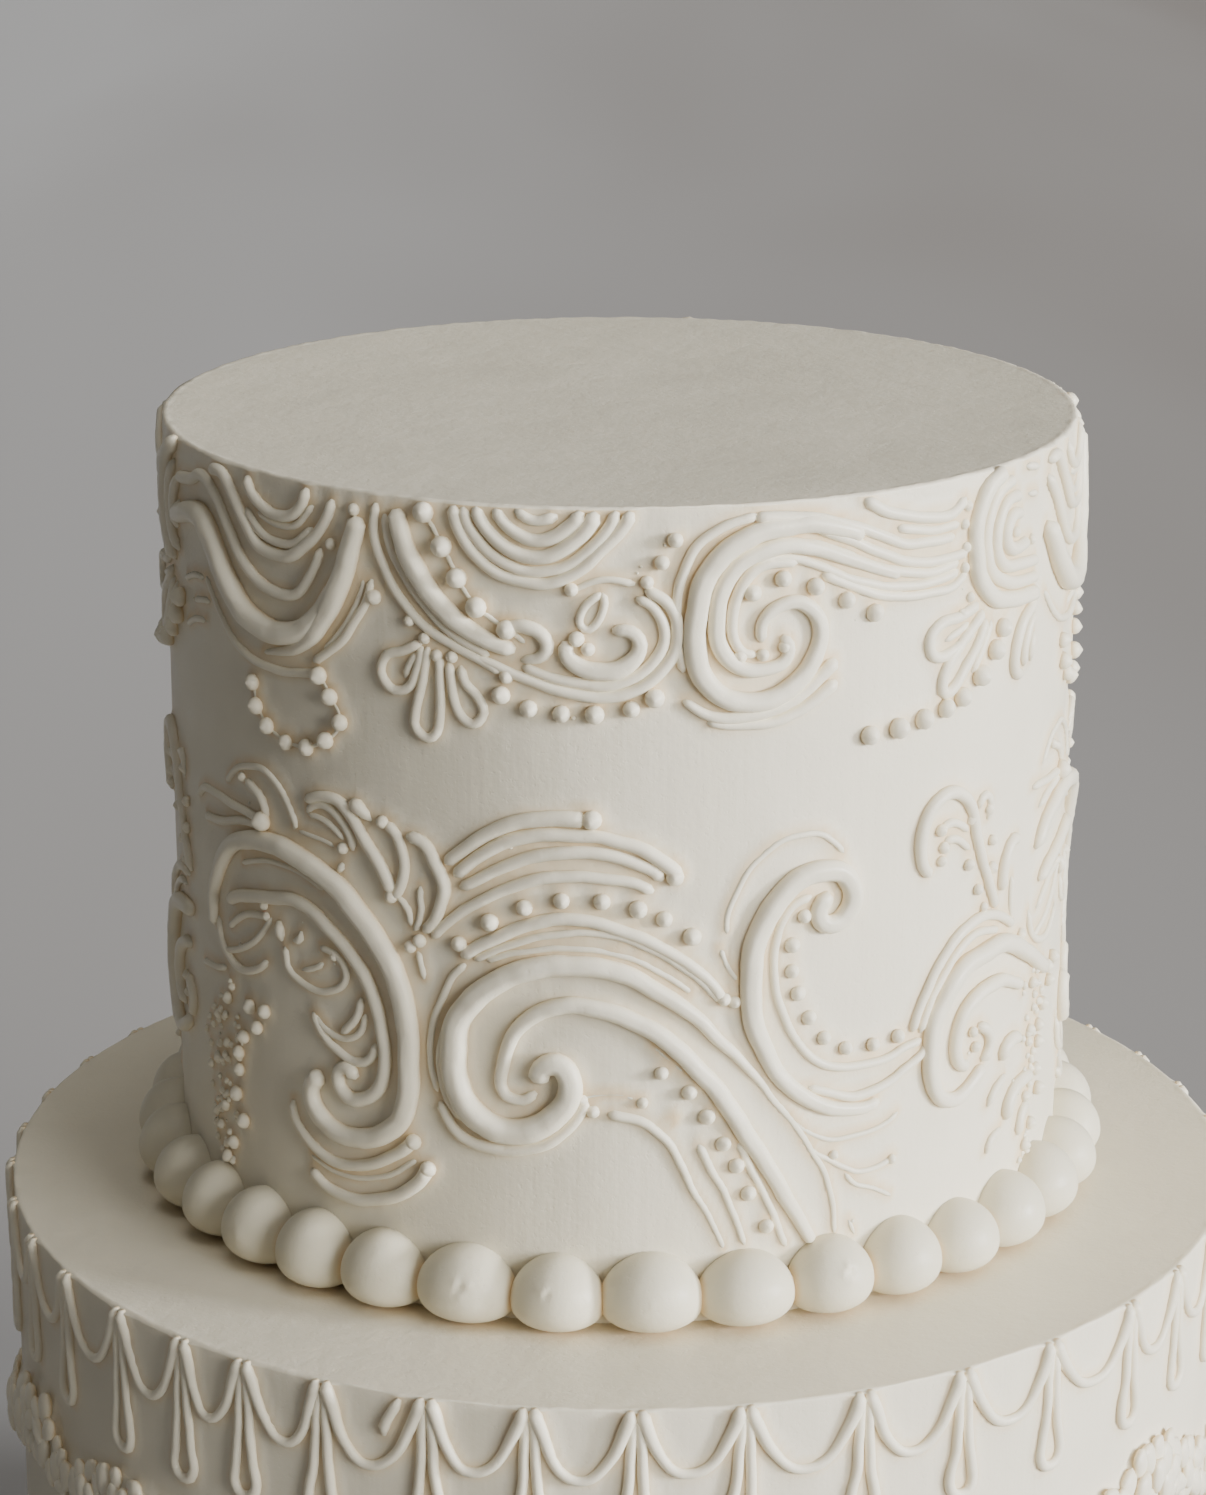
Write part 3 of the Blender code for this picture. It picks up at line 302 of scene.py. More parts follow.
# Where the drops hang round the lower tier in front and how low each ends, in millimetres, and how low the
# swag after each one sags. The rest of them is made up, to SWAGS in all.
DROPS = [
    (-90.5, 108.0, 120.7), (-75.0, 108.0, 121.0), (-62.0, 109.0, 121.0), (-47.5, 109.5, 120.3),
    (-30.0, 110.0, 121.5), (-14.0, 110.0, 121.2), (2.3, 110.0, 122.2), (19.0, 110.5, 121.5),
    (38.0, 110.5, 121.2), (55.5, 111.0, 122.0), (73.5, 110.7, 122.8), (93.5, 111.0, 122.0),
]
SWAGS = 40
USUAL_END, USUAL_SAG = 109.6, 121.4
SWAG_WIDTHS = (2.3, 2.2, 1.95, 1.75, 1.7, 1.7, 1.75, 1.95, 2.2, 2.3)
DROP_WIDTHS = (1.5, 1.7, 1.75, 1.8, 1.9, 1.8, 1.75, 1.7, 1.5)

# A drop goes down, round its bulb and up again. A leg's points: how far right of the drop's middle, the share
# of the drop's lean, and height. The bulb's points: how far right, and how far above the drop's end.
DROP_LEGS = (
    [(-0.45, 0.0, 132.0), (-0.8, 0.2, 127), (-1.15, 0.5, 120)],
    [(1.15, 0.5, 120), (0.8, 0.2, 127), (0.45, 0.0, 132.1)],
)
DROP_BULB = [(-1.8, 6), (-2.15, 3), (-1.4, 1.15), (0, 0.7), (1.4, 1.2), (2.15, 3.2), (1.75, 6.2)]

# A short end of icing beside one of the drops.
LOOSE_END = (1.7, 1.8, (-34.4, 132.3), (-35.6, 130), (-36.8, 127.6), (-37.0, 125.8))

# The upper edge of the garland in front and at the sides: place across and height, in millimetres.
GARLAND_EDGE = [
    (-178, 91.5), (-148, 97.5), (-135, 103.5), (-127, 108), (-120, 109), (-116, 106.5), (-112.5, 100.3),
    (-106, 101.5), (-98, 103.5), (-91, 105), (-84, 105), (-66, 98), (-30, 102), (-11, 105), (10, 102),
    (44, 96), (70, 98), (84, 102), (95, 103.5), (97, 107), (100.5, 107.6), (105, 106.5), (111, 103),
    (116, 100), (129, 95), (156, 91.5),
]
SHELL_TRIES = 11000
SHELL_LONG = 1.7  # a shell's length as a multiple of its width
SHELL_APART = 0.31  # how far apart two shells are, as a share of their widths together

# Angles in degrees where the balls of the upper border meet in front, and the marks that the nozzle left on
# some: place across and up on the ball, radius and height. The rest is made up, to BALLS in all.
SEAMS = [-44.0, -34.2, -24.0, -12.6, -2.1, 9.3, 20.4, 30.6, 40.5]
MARKS = {
    2: [(1.0, 8.0, 0.9, -0.45), (0.2, 8.6, 0.5, 0.35), (1.9, 8.4, 0.5, 0.3), (1.2, 7.0, 0.5, 0.3),
        (1.1, 8.3, 0.35, 0.25)],
    3: [(-1.6, 8.6, 0.5, 0.4), (-0.9, 8.2, 0.5, -0.3), (-2.4, 8.9, 0.35, 0.35), (-1.0, 9.0, 0.4, 0.3)],
    4: [(-0.3, 7.0, 0.3, 0.3)],
    6: [(0.2, 9.6, 0.45, 0.7), (-0.7, 8.6, 0.4, 0.5), (0.8, 8.5, 0.45, -0.5), (0.5, 7.6, 0.5, 0.5),
        (-0.4, 7.4, 0.35, 0.3), (1.3, 9.3, 0.35, 0.4)],
}
BALLS = 36
DOLLOPS = 40

# Strokes, in millimetres or as shares of their width. A broad one has a groove along its middle.
BROAD = 2.6
GROOVE_DEEP, GROOVE_WIDE = 0.13, 0.2
UNEVEN = 0.028  # how much the width wavers
PAINTED_SHADE_HIGH = 0.3  # how far up from the wall the warm painted shade of a crease reaches
STROKE_TOP = TOP_H + 0.15  # above its tier's foot; both tiers are equally high

# How close strokes hem in the wall between them, and the waves round a wall: how many, and how high.
CROWDED = 1.6
RIM_WAVES = (3, 0.10), (5, 0.09), (8, 0.07), (17, 0.05), (31, 0.035)

# Colours: icing that is piped, smoothed on the walls and piped as balls, the last made darker as painted
# shade, and the warm painted shade that its creases turn to.
IVORY_PIPED, IVORY_WALL, IVORY_BALLS_PAINTED_SHADE = (0.86, 0.80, 0.64), (0.84, 0.775, 0.615), (0.755, 0.7, 0.545)
PAINTED_SHADE_WARM, PAINTED_SHADE_WARM_BALLS = (0.80, 0.595, 0.33), (0.74, 0.56, 0.32)
PAINTED_SHADE_ATTRIBUTE = "crease"  # the attribute that says how much painted shade a point gets in a crease

# Soft lights: name, strength, width in degrees, degrees round to the right, degrees up, and colour.
LIGHTS = [
    ("window", 5.3, 12, 74, 8.5, (0.98, 1.0, 1.05)),
    ("room", 3.6, 34, 46, 12, (1.0, 0.985, 0.95)),
    ("ceiling", 1.0, 50, 90, 80, (1.0, 0.985, 0.96)),
    ("fill", 0.12, 60, -35, 50, (1.0, 0.99, 0.97)),
]
CAMERA_PLACE = (-0.00277, -0.6521, 0.4037)  # in metres
CAMERA_DOWN = 16.9  # degrees below level


class Batch:
    """Collects rings of points into one mesh, with a share at each point of how much painted shade it gets in
    a crease.
    """

    def __init__(self):
        self.points, self.faces, self.crease, self.count = [], [], [], 0

    def rings(self, grid, crease):
        """grid is rows x columns x 3, each row a closed ring; the end rings are capped."""
        rows, columns = grid.shape[:2]
        index = self.count + np.arange(rows * columns).reshape(rows, columns)
        lower, upper = index[:-1], index[1:]
        quads = np.stack([lower, np.roll(lower, -1, 1), np.roll(upper, -1, 1), upper], axis=-1)
        self.faces += quads.reshape(-1, 4).tolist()
        self.faces += [index[0][::-1].tolist(), index[-1].tolist()]
        self.points.append(grid.reshape(-1, 3))
        self.crease.append(np.broadcast_to(crease, grid.shape[:2]).reshape(-1))
        self.count += rows * columns

    def piece(self, name, material, slot, *nodes):
        """Makes one piece of what was collected, which stands for the given CAD nodes."""
        mesh = bpy.data.meshes.new(name)
        mesh.from_pydata((np.concatenate(self.points) * MM).tolist(), [], self.faces)
        mesh.polygons.foreach_set("use_smooth", np.ones(len(mesh.polygons), bool))
        # The painted crease shade is kept as an attribute of the mesh.
        painted_shade_share = mesh.attributes.new(PAINTED_SHADE_ATTRIBUTE, "FLOAT", "POINT")
        painted_shade_share.data.foreach_set("value", np.concatenate(self.crease).astype(np.float32))
        mesh.materials.append(material)
        mesh.update()
        made = bpy.data.objects.new(name, mesh)
        bpy.context.scene.collection.objects.link(made)
        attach(made, "root")
        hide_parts(*nodes)


def on_wall(wall, across, up, out):
    """Points on a round wall, given as its radius, its foot's height and the turn of what is drawn on it.
    across runs round it from the front to the right, up starts at its foot and out at its face."""
    radius, foot, turn = wall
    angle = across / radius + turn
    reach = radius + out
    return np.stack([reach * np.sin(angle), -reach * np.cos(angle), foot + up + 0 * angle], axis=-1)


def spline(points, step):
    """Evenly spaced points on a smooth line through the given points, and how far along it each one is."""
    p = np.array(points, float)
    if len(p) == 2:
        p = np.stack([p[0], p.mean(axis=0), p[1]])
    p = np.vstack([2 * p[0] - p[1], p, 2 * p[-1] - p[-2]])
    fine = []
    t = np.linspace(0, 1, 24, endpoint=False)[:, None]
    for a, b, c, d in zip(p, p[1:], p[2:], p[3:]):
        square, cube = 2 * a - 5 * b + 4 * c - d, 3 * b - a - 3 * c + d
        fine.append(0.5 * (2 * b + (c - a) * t + square * t**2 + cube * t**3))
    fine = np.vstack([*fine, p[-2:-1]])
    run = np.concatenate([[0], np.cumsum(np.linalg.norm(np.diff(fine, axis=0), axis=1))])
    even = np.linspace(0, run[-1], max(4, int(run[-1] / step)))
    return np.stack([np.interp(even, run, fine[:, 0]), np.interp(even, run, fine[:, 1])], axis=-1), even


def wander(length, waves, size):
    """A smooth random wobble along a line, of waves of the given lengths."""
    total = np.zeros_like(length)
    for wave in waves:
        total += np.sin(2 * math.pi * (length / wave + RNG.random())) / len(waves)
    return size * total


def stroke(batch, wall, entry, marks, rise=0.225, legs=1, coarse=1.0):
    """A line of piped icing that lies on the wall, round above and sunk a little into it: its middle is rise
    times its width out. Its edges go into marks. A line that doubles back has two legs, whose inner edges
    count apart. A higher coarse makes fewer sides and steps."""
    widths = [part for part in entry if not isinstance(part, tuple)]
    points = [part for part in entry if isinstance(part, tuple)]
    wide = max(widths)
    sides = 18 if wide > BROAD else 12 if wide > 1.7 else 9
    sides = round(sides / (0.5 + 0.5 * coarse))
    line, run = spline(points, (0.85 if wide > 1.3 else 0.75) * coarse)
    tangent = np.gradient(line, axis=0)
    tangent /= np.linalg.norm(tangent, axis=1)[:, None] + 1e-9
    side = np.stack([-tangent[:, 1], tangent[:, 0]], axis=-1)
    width = np.interp(run, np.linspace(0, run[-1], len(widths)), widths)
    width *= 1 + wander(run, (11.0, 5.1, 19.0), UNEVEN) + wander(run, (3.1,), 0.35 * UNEVEN)
    line = line + side * wander(run, (6.7, 13.0), 0.09)[:, None]
    half = 0.5 * width
    end = 0.7 * half
    blunt = np.minimum(run, run[-1] - run)
    short = np.clip(1 - (blunt + 0.1 * end) / np.maximum(end, 0.3), 0, 1)
    taper = np.sqrt(np.clip(1 - short**2, 0.02, 1))
    half = half * taper
    phase = 2 * math.pi * (np.arange(sides) + 0.5) / sides - math.pi / 2
    across = line[:, None, 0] + half[:, None] * side[:, None, 0] * np.cos(phase)
    up = line[:, None, 1] + half[:, None] * side[:, None, 1] * np.cos(phase)
    lift = 1 + wander(run, (8.3, 15.0), 0.08)
    middle = rise * width * (0.5 + 0.5 * taper) * lift
    out = middle[:, None] + half[:, None] * np.sin(phase)
    if wide > BROAD:
        place = np.cos(phase) - (0.12 + wander(run, (23.0, 37.0), 0.3))[:, None]
        groove = (GROOVE_DEEP * half * taper)[:, None] * np.exp(-((place / GROOVE_WIDE) ** 2))
        out -= (np.sin(phase) > 0) * groove
    # Painted shade: a warm colour low on the stroke's flanks, where it meets the wall.
    crease = 0.8 * np.clip(1 - out / (PAINTED_SHADE_HIGH * width[:, None]), 0, 1)
    batch.rings(on_wall(wall, across, np.minimum(up, STROKE_TOP), out), crease)
    fine = np.linspace(0, len(line) - 1, 2 * len(line) - 1)
    steps = np.arange(len(line))
    for way in (-0.98, 0.98):
        edge = line + way * half[:, None] * side
        edge = np.stack([np.interp(fine, steps, edge[:, 0]), np.interp(fine, steps, edge[:, 1])], axis=-1)
        marks += np.array_split(edge, legs) if way > 0 else [edge]


def dot(batch, wall, across, up, width, marks, tip=0.1, sides=12):
    """A piped bead with a small soft tip. The edge of a larger one goes into marks."""
    rows = np.array([-0.9, -0.45, -0.05, 0.35, 0.68, 0.9, 1.0])
    reach = np.sqrt(np.clip(1 - rows**2, 0, 1))
    reach[-1], reach[-2] = 0.08, 0.40
    height = 0.25 + 0.45 * rows
    height[-1] += tip * 0.6
    height[-2] += tip * 0.12
    size = width * (1 + 0.05 * RNG.standard_normal())
    lean = RNG.normal(0, 0.05, 2)
    phase = 2 * math.pi * np.arange(sides) / sides
    tilt = np.clip(rows, 0, 1) ** 2
    a = across + size * (0.5 * reach[:, None] * np.cos(phase) + (lean[0] * tilt)[:, None])
    u = up + size * (0.5 * reach[:, None] * np.sin(phase) + (lean[1] * tilt)[:, None])
    out = np.broadcast_to((size * height)[:, None], a.shape)
    # Painted shade: a warm colour low round the bead, where it meets the wall.
    crease = np.clip(1 - out / (PAINTED_SHADE_HIGH * size), 0, 1)
    batch.rings(on_wall(wall, a, u, out), crease)
    if width > 1:
        edge = across + 0.48 * size * np.cos(phase), up + 0.48 * size * np.sin(phase)
        marks.append(np.stack(edge, axis=-1))


def gap_to(marks, across, up, around):
    """How far each wall point lies from the nearest edge of a stroke, and how hemmed in it is by another."""
    places = np.vstack(marks)
    owner = np.concatenate([np.full(len(mark), i) for i, mark in enumerate(marks)])
    tree = kdtree.KDTree(2 * len(places))
    for i, (a, u) in enumerate(places):
        near = a % around
        tree.insert((near, u, 0), i)
        tree.insert((near - around if near > around / 2 else near + around, u, 0), i)
    tree.balance()
    gap, crowd = np.zeros((2, *across.shape))
    for spot in np.ndindex(across.shape):
        place = (across[spot] % around, up[spot], 0)
        _, first, gap[spot] = tree.find(place)
        if gap[spot] < CROWDED:
            for _, other, distance in tree.find_n(place, 14):
                if owner[other] != owner[first]:
                    crowd[spot] = max(0.0, 1 - distance / (2 * CROWDED))
                    break
    return gap, crowd


class Shading:
    """A new material, with short ways to add nodes to it."""

    def __init__(self, name):
        self.material = bpy.data.materials.new(name)
        self.material.use_nodes = True
        self.nodes, self.links = self.material.node_tree.nodes, self.material.node_tree.links
        self.shader = self.nodes["Principled BSDF"]
        self.place = self.nodes.new("ShaderNodeTexCoord").outputs["Object"]

    def set(self, node, inputs):
        """Links each input that is given a socket to it, and gives any other its constant."""
        for name, value in inputs.items():
            if isinstance(value, bpy.types.NodeSocket):
                self.links.new(value, node.inputs[name])
            else:
                node.inputs[name].default_value = value
        return node

    def noise(self, scale, detail, vector=None, distortion=0.0):
        inputs = {"Scale": scale, "Detail": detail, "Distortion": distortion, "Vector": vector or self.place}
        return self.set(self.nodes.new("ShaderNodeTexNoise"), inputs).outputs["Fac"]

    def stretched(self, scale):
        inputs = {"Vector": self.place, "Scale": scale}
        return self.set(self.nodes.new("ShaderNodeMapping"), inputs).outputs["Vector"]

    def spread(self, value, low, high, first, last):
        """Takes low to high over to first to last."""
        inputs = {"Value": value, "From Min": low, "From Max": high, "To Min": first, "To Max": last}
        return self.set(self.nodes.new("ShaderNodeMapRange"), inputs).outputs["Result"]

    def mix(self, factor, first, last):
        """Goes from the first colour to the last as factor goes from 0 to 1."""
        mixed = self.nodes.new("ShaderNodeMix")
        mixed.data_type = "RGBA"
        inputs = {0: factor}
        colours = [i for i, socket in enumerate(mixed.inputs) if socket.type == "RGBA"]
        for i, value in zip(colours, (first, last)):
            inputs[i] = (*value, 1.0) if isinstance(value, tuple) else value
        self.set(mixed, inputs)
        return next(socket for socket in mixed.outputs if socket.type == "RGBA")

    def bump(self, height, strength, distance, normal=None):
        inputs = {"Height": height, "Strength": strength, "Distance": distance}
        if normal is not None:
            inputs["Normal"] = normal
        return self.set(self.nodes.new("ShaderNodeBump"), inputs).outputs["Normal"]


def icing_material(name, colour, painted_shade_colour, rough, streaks=None):
    """Smooth buttercream, with warm painted shade in its creases, faintly mottled, with fine pits and soft
    waves.
    streaks are the scales of the marks that a smoothing blade leaves round a wall."""
    shading = Shading(name)
    noise, spread, bump = shading.noise, shading.spread, shading.bump
    painted_shade_share = shading.nodes.new("ShaderNodeAttribute")
    painted_shade_share.attribute_name = PAINTED_SHADE_ATTRIBUTE
    light, dark = (tuple(min(1.0, share * c) for c in colour) for share in (1.012, 0.98))
    mottle = shading.mix(spread(noise(70, 3), 0.35, 0.65, 0, 1), dark, light)
    waves = bump(noise(110, 2), 0.3, 0.0005)
    pits = bump(spread(noise(1300, 1), 0.26, 0.36, 0, 1), 0.12, 0.0003, waves)
    normal = bump(noise(1100, 3), 0.22, 0.00022, pits)
    if streaks:
        normal = bump(noise(1.0, 3, shading.stretched(streaks)), 0.16, 0.0005, normal)
    shading.shader.subsurface_method = "BURLEY"
    shading.set(shading.shader, {
        # The base colour turns to the warm painted crease shade as much as the attribute says.
        "Base Color": shading.mix(painted_shade_share.outputs["Fac"], mottle, painted_shade_colour),
        "Roughness": spread(noise(160, 2), 0.3, 0.7, rough - 0.05, rough + 0.07),
        "Normal": normal,
        "IOR": 1.4,
        "Specular IOR Level": 0.35,
        "Subsurface Weight": 0.45,
        "Subsurface Radius": (1.0, 0.82, 0.64),
        "Subsurface Scale": 0.0012,
    })
    return shading.material


def tier_piece(name, node, wall, height, columns, rows, inner, marks, material, hidden=0.0, heap=None):
    """A smooth drum of icing with a crisp, slightly uneven rim and a level top that ends at the radius inner.
    The icing swells softly up to the edge of each stroke in marks, and shade is painted into its colour
    there, most where strokes hem it in. hidden is how far out the border of the next tier covers the top,
    where a contact shadow is painted under it, and heap gives how far the icing bulges under a garland."""
    radius = wall[0]
    angle = 2 * math.pi * np.arange(columns) / columns
    round_it = angle * radius
    waves = sum(np.sin(k * angle + RNG.random() * 7) * size for k, size in RIM_WAVES)
    across = np.broadcast_to(round_it, (rows, columns))
    ups = np.broadcast_to(np.linspace(0, height - 0.5, rows)[:, None], (rows, columns))
    wobble = waves[None, :] * np.sin(math.pi * ups[:, :1] / height * 1.3 + 0.5)
    ripple = 0.05 * np.sin(across / 7.3 + 2.1 * np.sin(ups / 19.0)) * np.sin(ups / 11.0 + across / 31.0)
    wobble = wobble + ripple
    gap, crowd = gap_to(marks, across, ups, 2 * math.pi * radius)
    wobble = wobble + 0.24 * np.exp(-((gap / 0.65) ** 2)) + 0.30 * crowd * np.exp(-((gap / 1.3) ** 2))
    if heap:
        wobble = wobble + heap(across, ups)
    # Painted shade: a warm colour on the wall beside each stroke, strongest where strokes hem it in.
    shade = 0.12 * np.clip(1 - gap / 0.8, 0, 1) + 0.95 * crowd * np.clip(1 - gap / CROWDED, 0, 1)
    nick = 0.05 * np.sin(angle * 97 + 3 * np.sin(angle * 11)) + 0.04 * np.sin(angle * 43)
    rim = [
        on_wall(wall, round_it, height - 0.32, wobble[-1] - 0.02),
        on_wall(wall, round_it, height - 0.13 + 0.5 * nick, waves * 0.35 - 0.12),
        on_wall(wall, round_it, height - 0.02 + nick, waves * 0.35 - 0.36),
    ]
    # Painted contact shadow: a warm colour on the top under the border of the next tier.
    painted_contact_shadow = [0.0] * len(rim)
    for i, back in enumerate([0.9, 1.8, 3.2, 5.0, *np.arange(9, radius - inner, 3.0), radius - inner]):
        level = 0.07 * np.sin(angle * 2 + i * 0.33) + 0.05 * np.sin(angle * 5 - i * 0.21)
        level = level * min(1, back / 9) * min(1, (radius - back) / 25)
        rim.append(on_wall(wall, round_it, height - 0.08 + level, -back + 0 * angle))
        painted_contact_shadow.append(0.35 * min(1.0, max(0.0, (hidden - (radius - back)) / 2.5)))
    batch = Batch()
    grid = np.concatenate([on_wall(wall, across, ups, wobble), np.stack(rim)])
    top_shade = np.broadcast_to(np.array(painted_contact_shadow)[:, None], (len(rim), columns))
    batch.rings(grid, np.concatenate([np.minimum(shade, 1), top_shade]))
    batch.piece(name, material, "icing_wall", node)


def rest_of_round(seen, around, count):
    """Even places round the rest of a tier, for a row of count things of which the photograph shows some."""
    missing = count - len(seen)
    space = (seen[0] + around - seen[-1]) / (missing + 1)
    return [seen[-1] + space * i for i in range(1, missing + 1)]


def tiny_beads(batch, wall, ends, marks):
    """The cluster of tiny beads beside the big scroll."""
    first, last = ends
    for t in np.linspace(0, 1, TINY_BEADS):
        aside = RNG.uniform(-1, 1) * np.interp(t, *CLUSTER_REACH)
        across, up = np.interp(t, *CLUSTER_MIDDLE) + aside, CLUSTER_TOP - CLUSTER_LONG * t
        if first < across < last:
            dot(batch, wall, across, up + RNG.normal(0, 1), RNG.uniform(0.9, 1.7), marks, sides=9)


def grains(batch, wall, marks):
    """Crumbs of icing that lie along the strokes."""
    for _ in range(GRAINS):
        line = marks[RNG.integers(len(marks))]
        across, up = line[RNG.integers(len(line))] + RNG.normal(0, 1.2, 2)
        if 13 < up < TOP_H - 2:
            dot(batch, wall, across, up, RNG.uniform(0.35, 0.75), marks, tip=0.0, sides=7)


def scroll_pieces(piped, smooth_wall):
    """The relief of the upper tier, which repeats round it, and the tier itself."""
    marks = []
    for panel, (first, last) in enumerate(PANEL_ENDS):
        turn = 2 * math.pi * panel / len(PANEL_ENDS)
        wall = (TOP_R, BASE_H, turn)
        shift = 2 * math.pi * TOP_R * panel / len(PANEL_ENDS)
        for label, lines, dots in (("upper", UPPER, UPPER_DOTS), ("lower", LOWER, LOWER_DOTS)):
            batch, here = Batch(), []
            for entry in lines:
                kept = [p for p in entry if not isinstance(p, tuple) or first < p[0] < last]
                if sum(isinstance(p, tuple) for p in kept) > 1:
                    stroke(batch, wall, kept, here, coarse=BACK_COARSE if panel else 1.0)
            for width, *places in dots:
                for across, up in places:
                    if first < across < last:
                        dot(batch, wall, across, up, width, here, sides=9 if panel else 12)
            if label == "lower":
                tiny_beads(batch, wall, (first, last), here)
            grains(batch, wall, here)
            batch.piece(f"{label}_scrolls_{panel}", piped, "icing_piped", "top_tier")
            marks += [line + np.array([shift, 0]) for line in here]
    tier_piece("upper_tier", "top_tier", (TOP_R, BASE_H + 0.3, 0.0), TOP_H - 0.3, columns=580, rows=110,
               inner=0.5, marks=marks, material=smooth_wall)


def swag_strokes():
    """Strokes of the swags and drops under the lower rim, each a little different."""
    around = 2 * math.pi * BASE_R
    drops = list(DROPS)
    for place in rest_of_round([drop[0] for drop in DROPS], around, SWAGS):
        place = place + RNG.normal(0, 0.5)
        drops.append((place, USUAL_END + RNG.normal(0, 0.8), USUAL_SAG + RNG.normal(0, 0.5)))
    drops.append((drops[0][0] + around, 0, 0))
    swags, hanging = [], []
    for (here, low, sag), (following, _, _) in zip(drops, drops[1:]):
        first, last = here + 1.55, following - 1.55
        pull = RNG.normal(0, 0.04)
        bow = []
        for t in np.linspace(0, 1, 9):
            across = first + (last - first) * (t + pull * math.sin(math.pi * t))
            bow.append((across, sag + (130.2 - sag) * abs(2 * t - 1) ** 2.3))
        start = (here + 0.85, 133.0), (here + 0.95, 131.8)
        end = (following - 0.95, 131.8), (following - 0.85, 132.9)
        swags.append((*SWAG_WIDTHS, *start, *bow, *end))
        lean = RNG.normal(0, 0.3)
        down, back_up = ([(here + aside + share * lean, up) for aside, share, up in leg] for leg in DROP_LEGS)
        bulb = [(here + aside + lean, low + up) for aside, up in DROP_BULB]
        hanging.append((*DROP_WIDTHS, *down, *bulb, *back_up))
    swags.append(LOOSE_END)
    return swags, hanging


def garland_line(across):
    """Height of the garland's upper edge and how tall it is there."""
    start, end = GARLAND_EDGE[0][0], GARLAND_EDGE[-1][0]
    place = (across - start) % (2 * math.pi * BASE_R) + start
    behind = 99.5 + 8 * np.cos(6 * (place + 11) / BASE_R)
    edge = np.where(place > end, behind, np.interp(place, *zip(*GARLAND_EDGE)))
    return edge, 13 + 4 * np.clip((edge - 100) / 9, 0, 1)


def garland_heap(across, up):
    """How far the wall bulges under the garland."""
    edge, tall = garland_line(across)
    place = np.clip(2 * (edge - up) / tall - 1, -1.15, 1.15)
    return 1.5 * np.clip(1 - (place / 0.86) ** 2, 0, 1) ** 0.7


def shell(batch, across, up, size, raised, lean):
    """A small piped shell, longer than it is wide, with faint ridges."""
    rows = np.array([-0.6, 0.12, 0.5, 0.78, 0.94, 1.0])
    reach = np.array([0.9, 1.0, 0.87, 0.62, 0.34, 0.1])
    ridged = np.array([0.7, 1, 1, 0.8, 0.4, 0])
    phase = 2 * math.pi * np.arange(15) / 15
    ridges = 1 + 0.07 * np.cos(5 * phase + RNG.random() * 7)[None, :] * ridged[:, None]
    half = 0.5 * size * reach[:, None] * ridges
    wide = half * np.cos(phase) * (1 + 0.22 * np.sin(phase))
    long = SHELL_LONG * half * np.sin(phase)
    across = across + wide * math.cos(lean) - long * math.sin(lean)
    up = up + wide * math.sin(lean) + long * math.cos(lean)
    out = np.broadcast_to((raised + size * (0.08 + 0.27 * rows))[:, None], half.shape)
    # Painted shade: a warm colour low round the shell's base, where it meets the wall.
    crease = np.clip(0.9 - (out - raised + 0.15 * size) / (0.34 * size), 0, 1)
    batch.rings(on_wall(LOWER_WALL, across, up, out), crease)


def garland_piece(piped, marks):
    """Shells heaped in a wavy band, thickest at its crests."""
    batch = Batch()
    around = 2 * math.pi * BASE_R
    placed = []

    def is_free(across, up, size):
        for other, high, wide in placed:
            aside = min(abs(other - across), around - abs(other - across))
            if aside**2 + ((high - up) / SHELL_LONG) ** 2 <= (SHELL_APART * (size + wide)) ** 2:
                return False
        return True

    for _ in range(SHELL_TRIES):
        across, off = RNG.random() * around, RNG.uniform(-1, 1)
        edge, tall = garland_line(across)
        size = RNG.uniform(2.8, 4.3)
        up = float(edge) - 0.5 * tall + off * (0.5 * tall - 0.8 * size)
        if is_free(across, up, size):
            placed.append((across, up, size))
            raised = 0.8 + 0.13 * (tall - 8) * (1 - off * off) + RNG.uniform(-0.3, 0.3)
            shell(batch, across, up, size, raised, RNG.normal(0, 0.45))
            marks.append(np.array([[across, up]]))
    batch.piece("garland", piped, "icing_piped", "bottom_tier")


def lower_tier_pieces(piped, smooth_wall):
    batch, marks = Batch(), []
    swags, hanging = swag_strokes()
    for legs, entries in ((1, swags), (2, hanging)):
        for entry in entries:
            stroke(batch, LOWER_WALL, entry, marks, rise=0.22, legs=legs, coarse=1.2)
    batch.piece("swags", piped, "icing_piped", "bottom_tier")
    garland_piece(piped, marks)
    tier_piece("lower_tier", "bottom_tier", LOWER_WALL, BASE_H, columns=680, rows=92, inner=60.0, marks=marks,
               material=smooth_wall, hidden=83.2, heap=garland_heap)


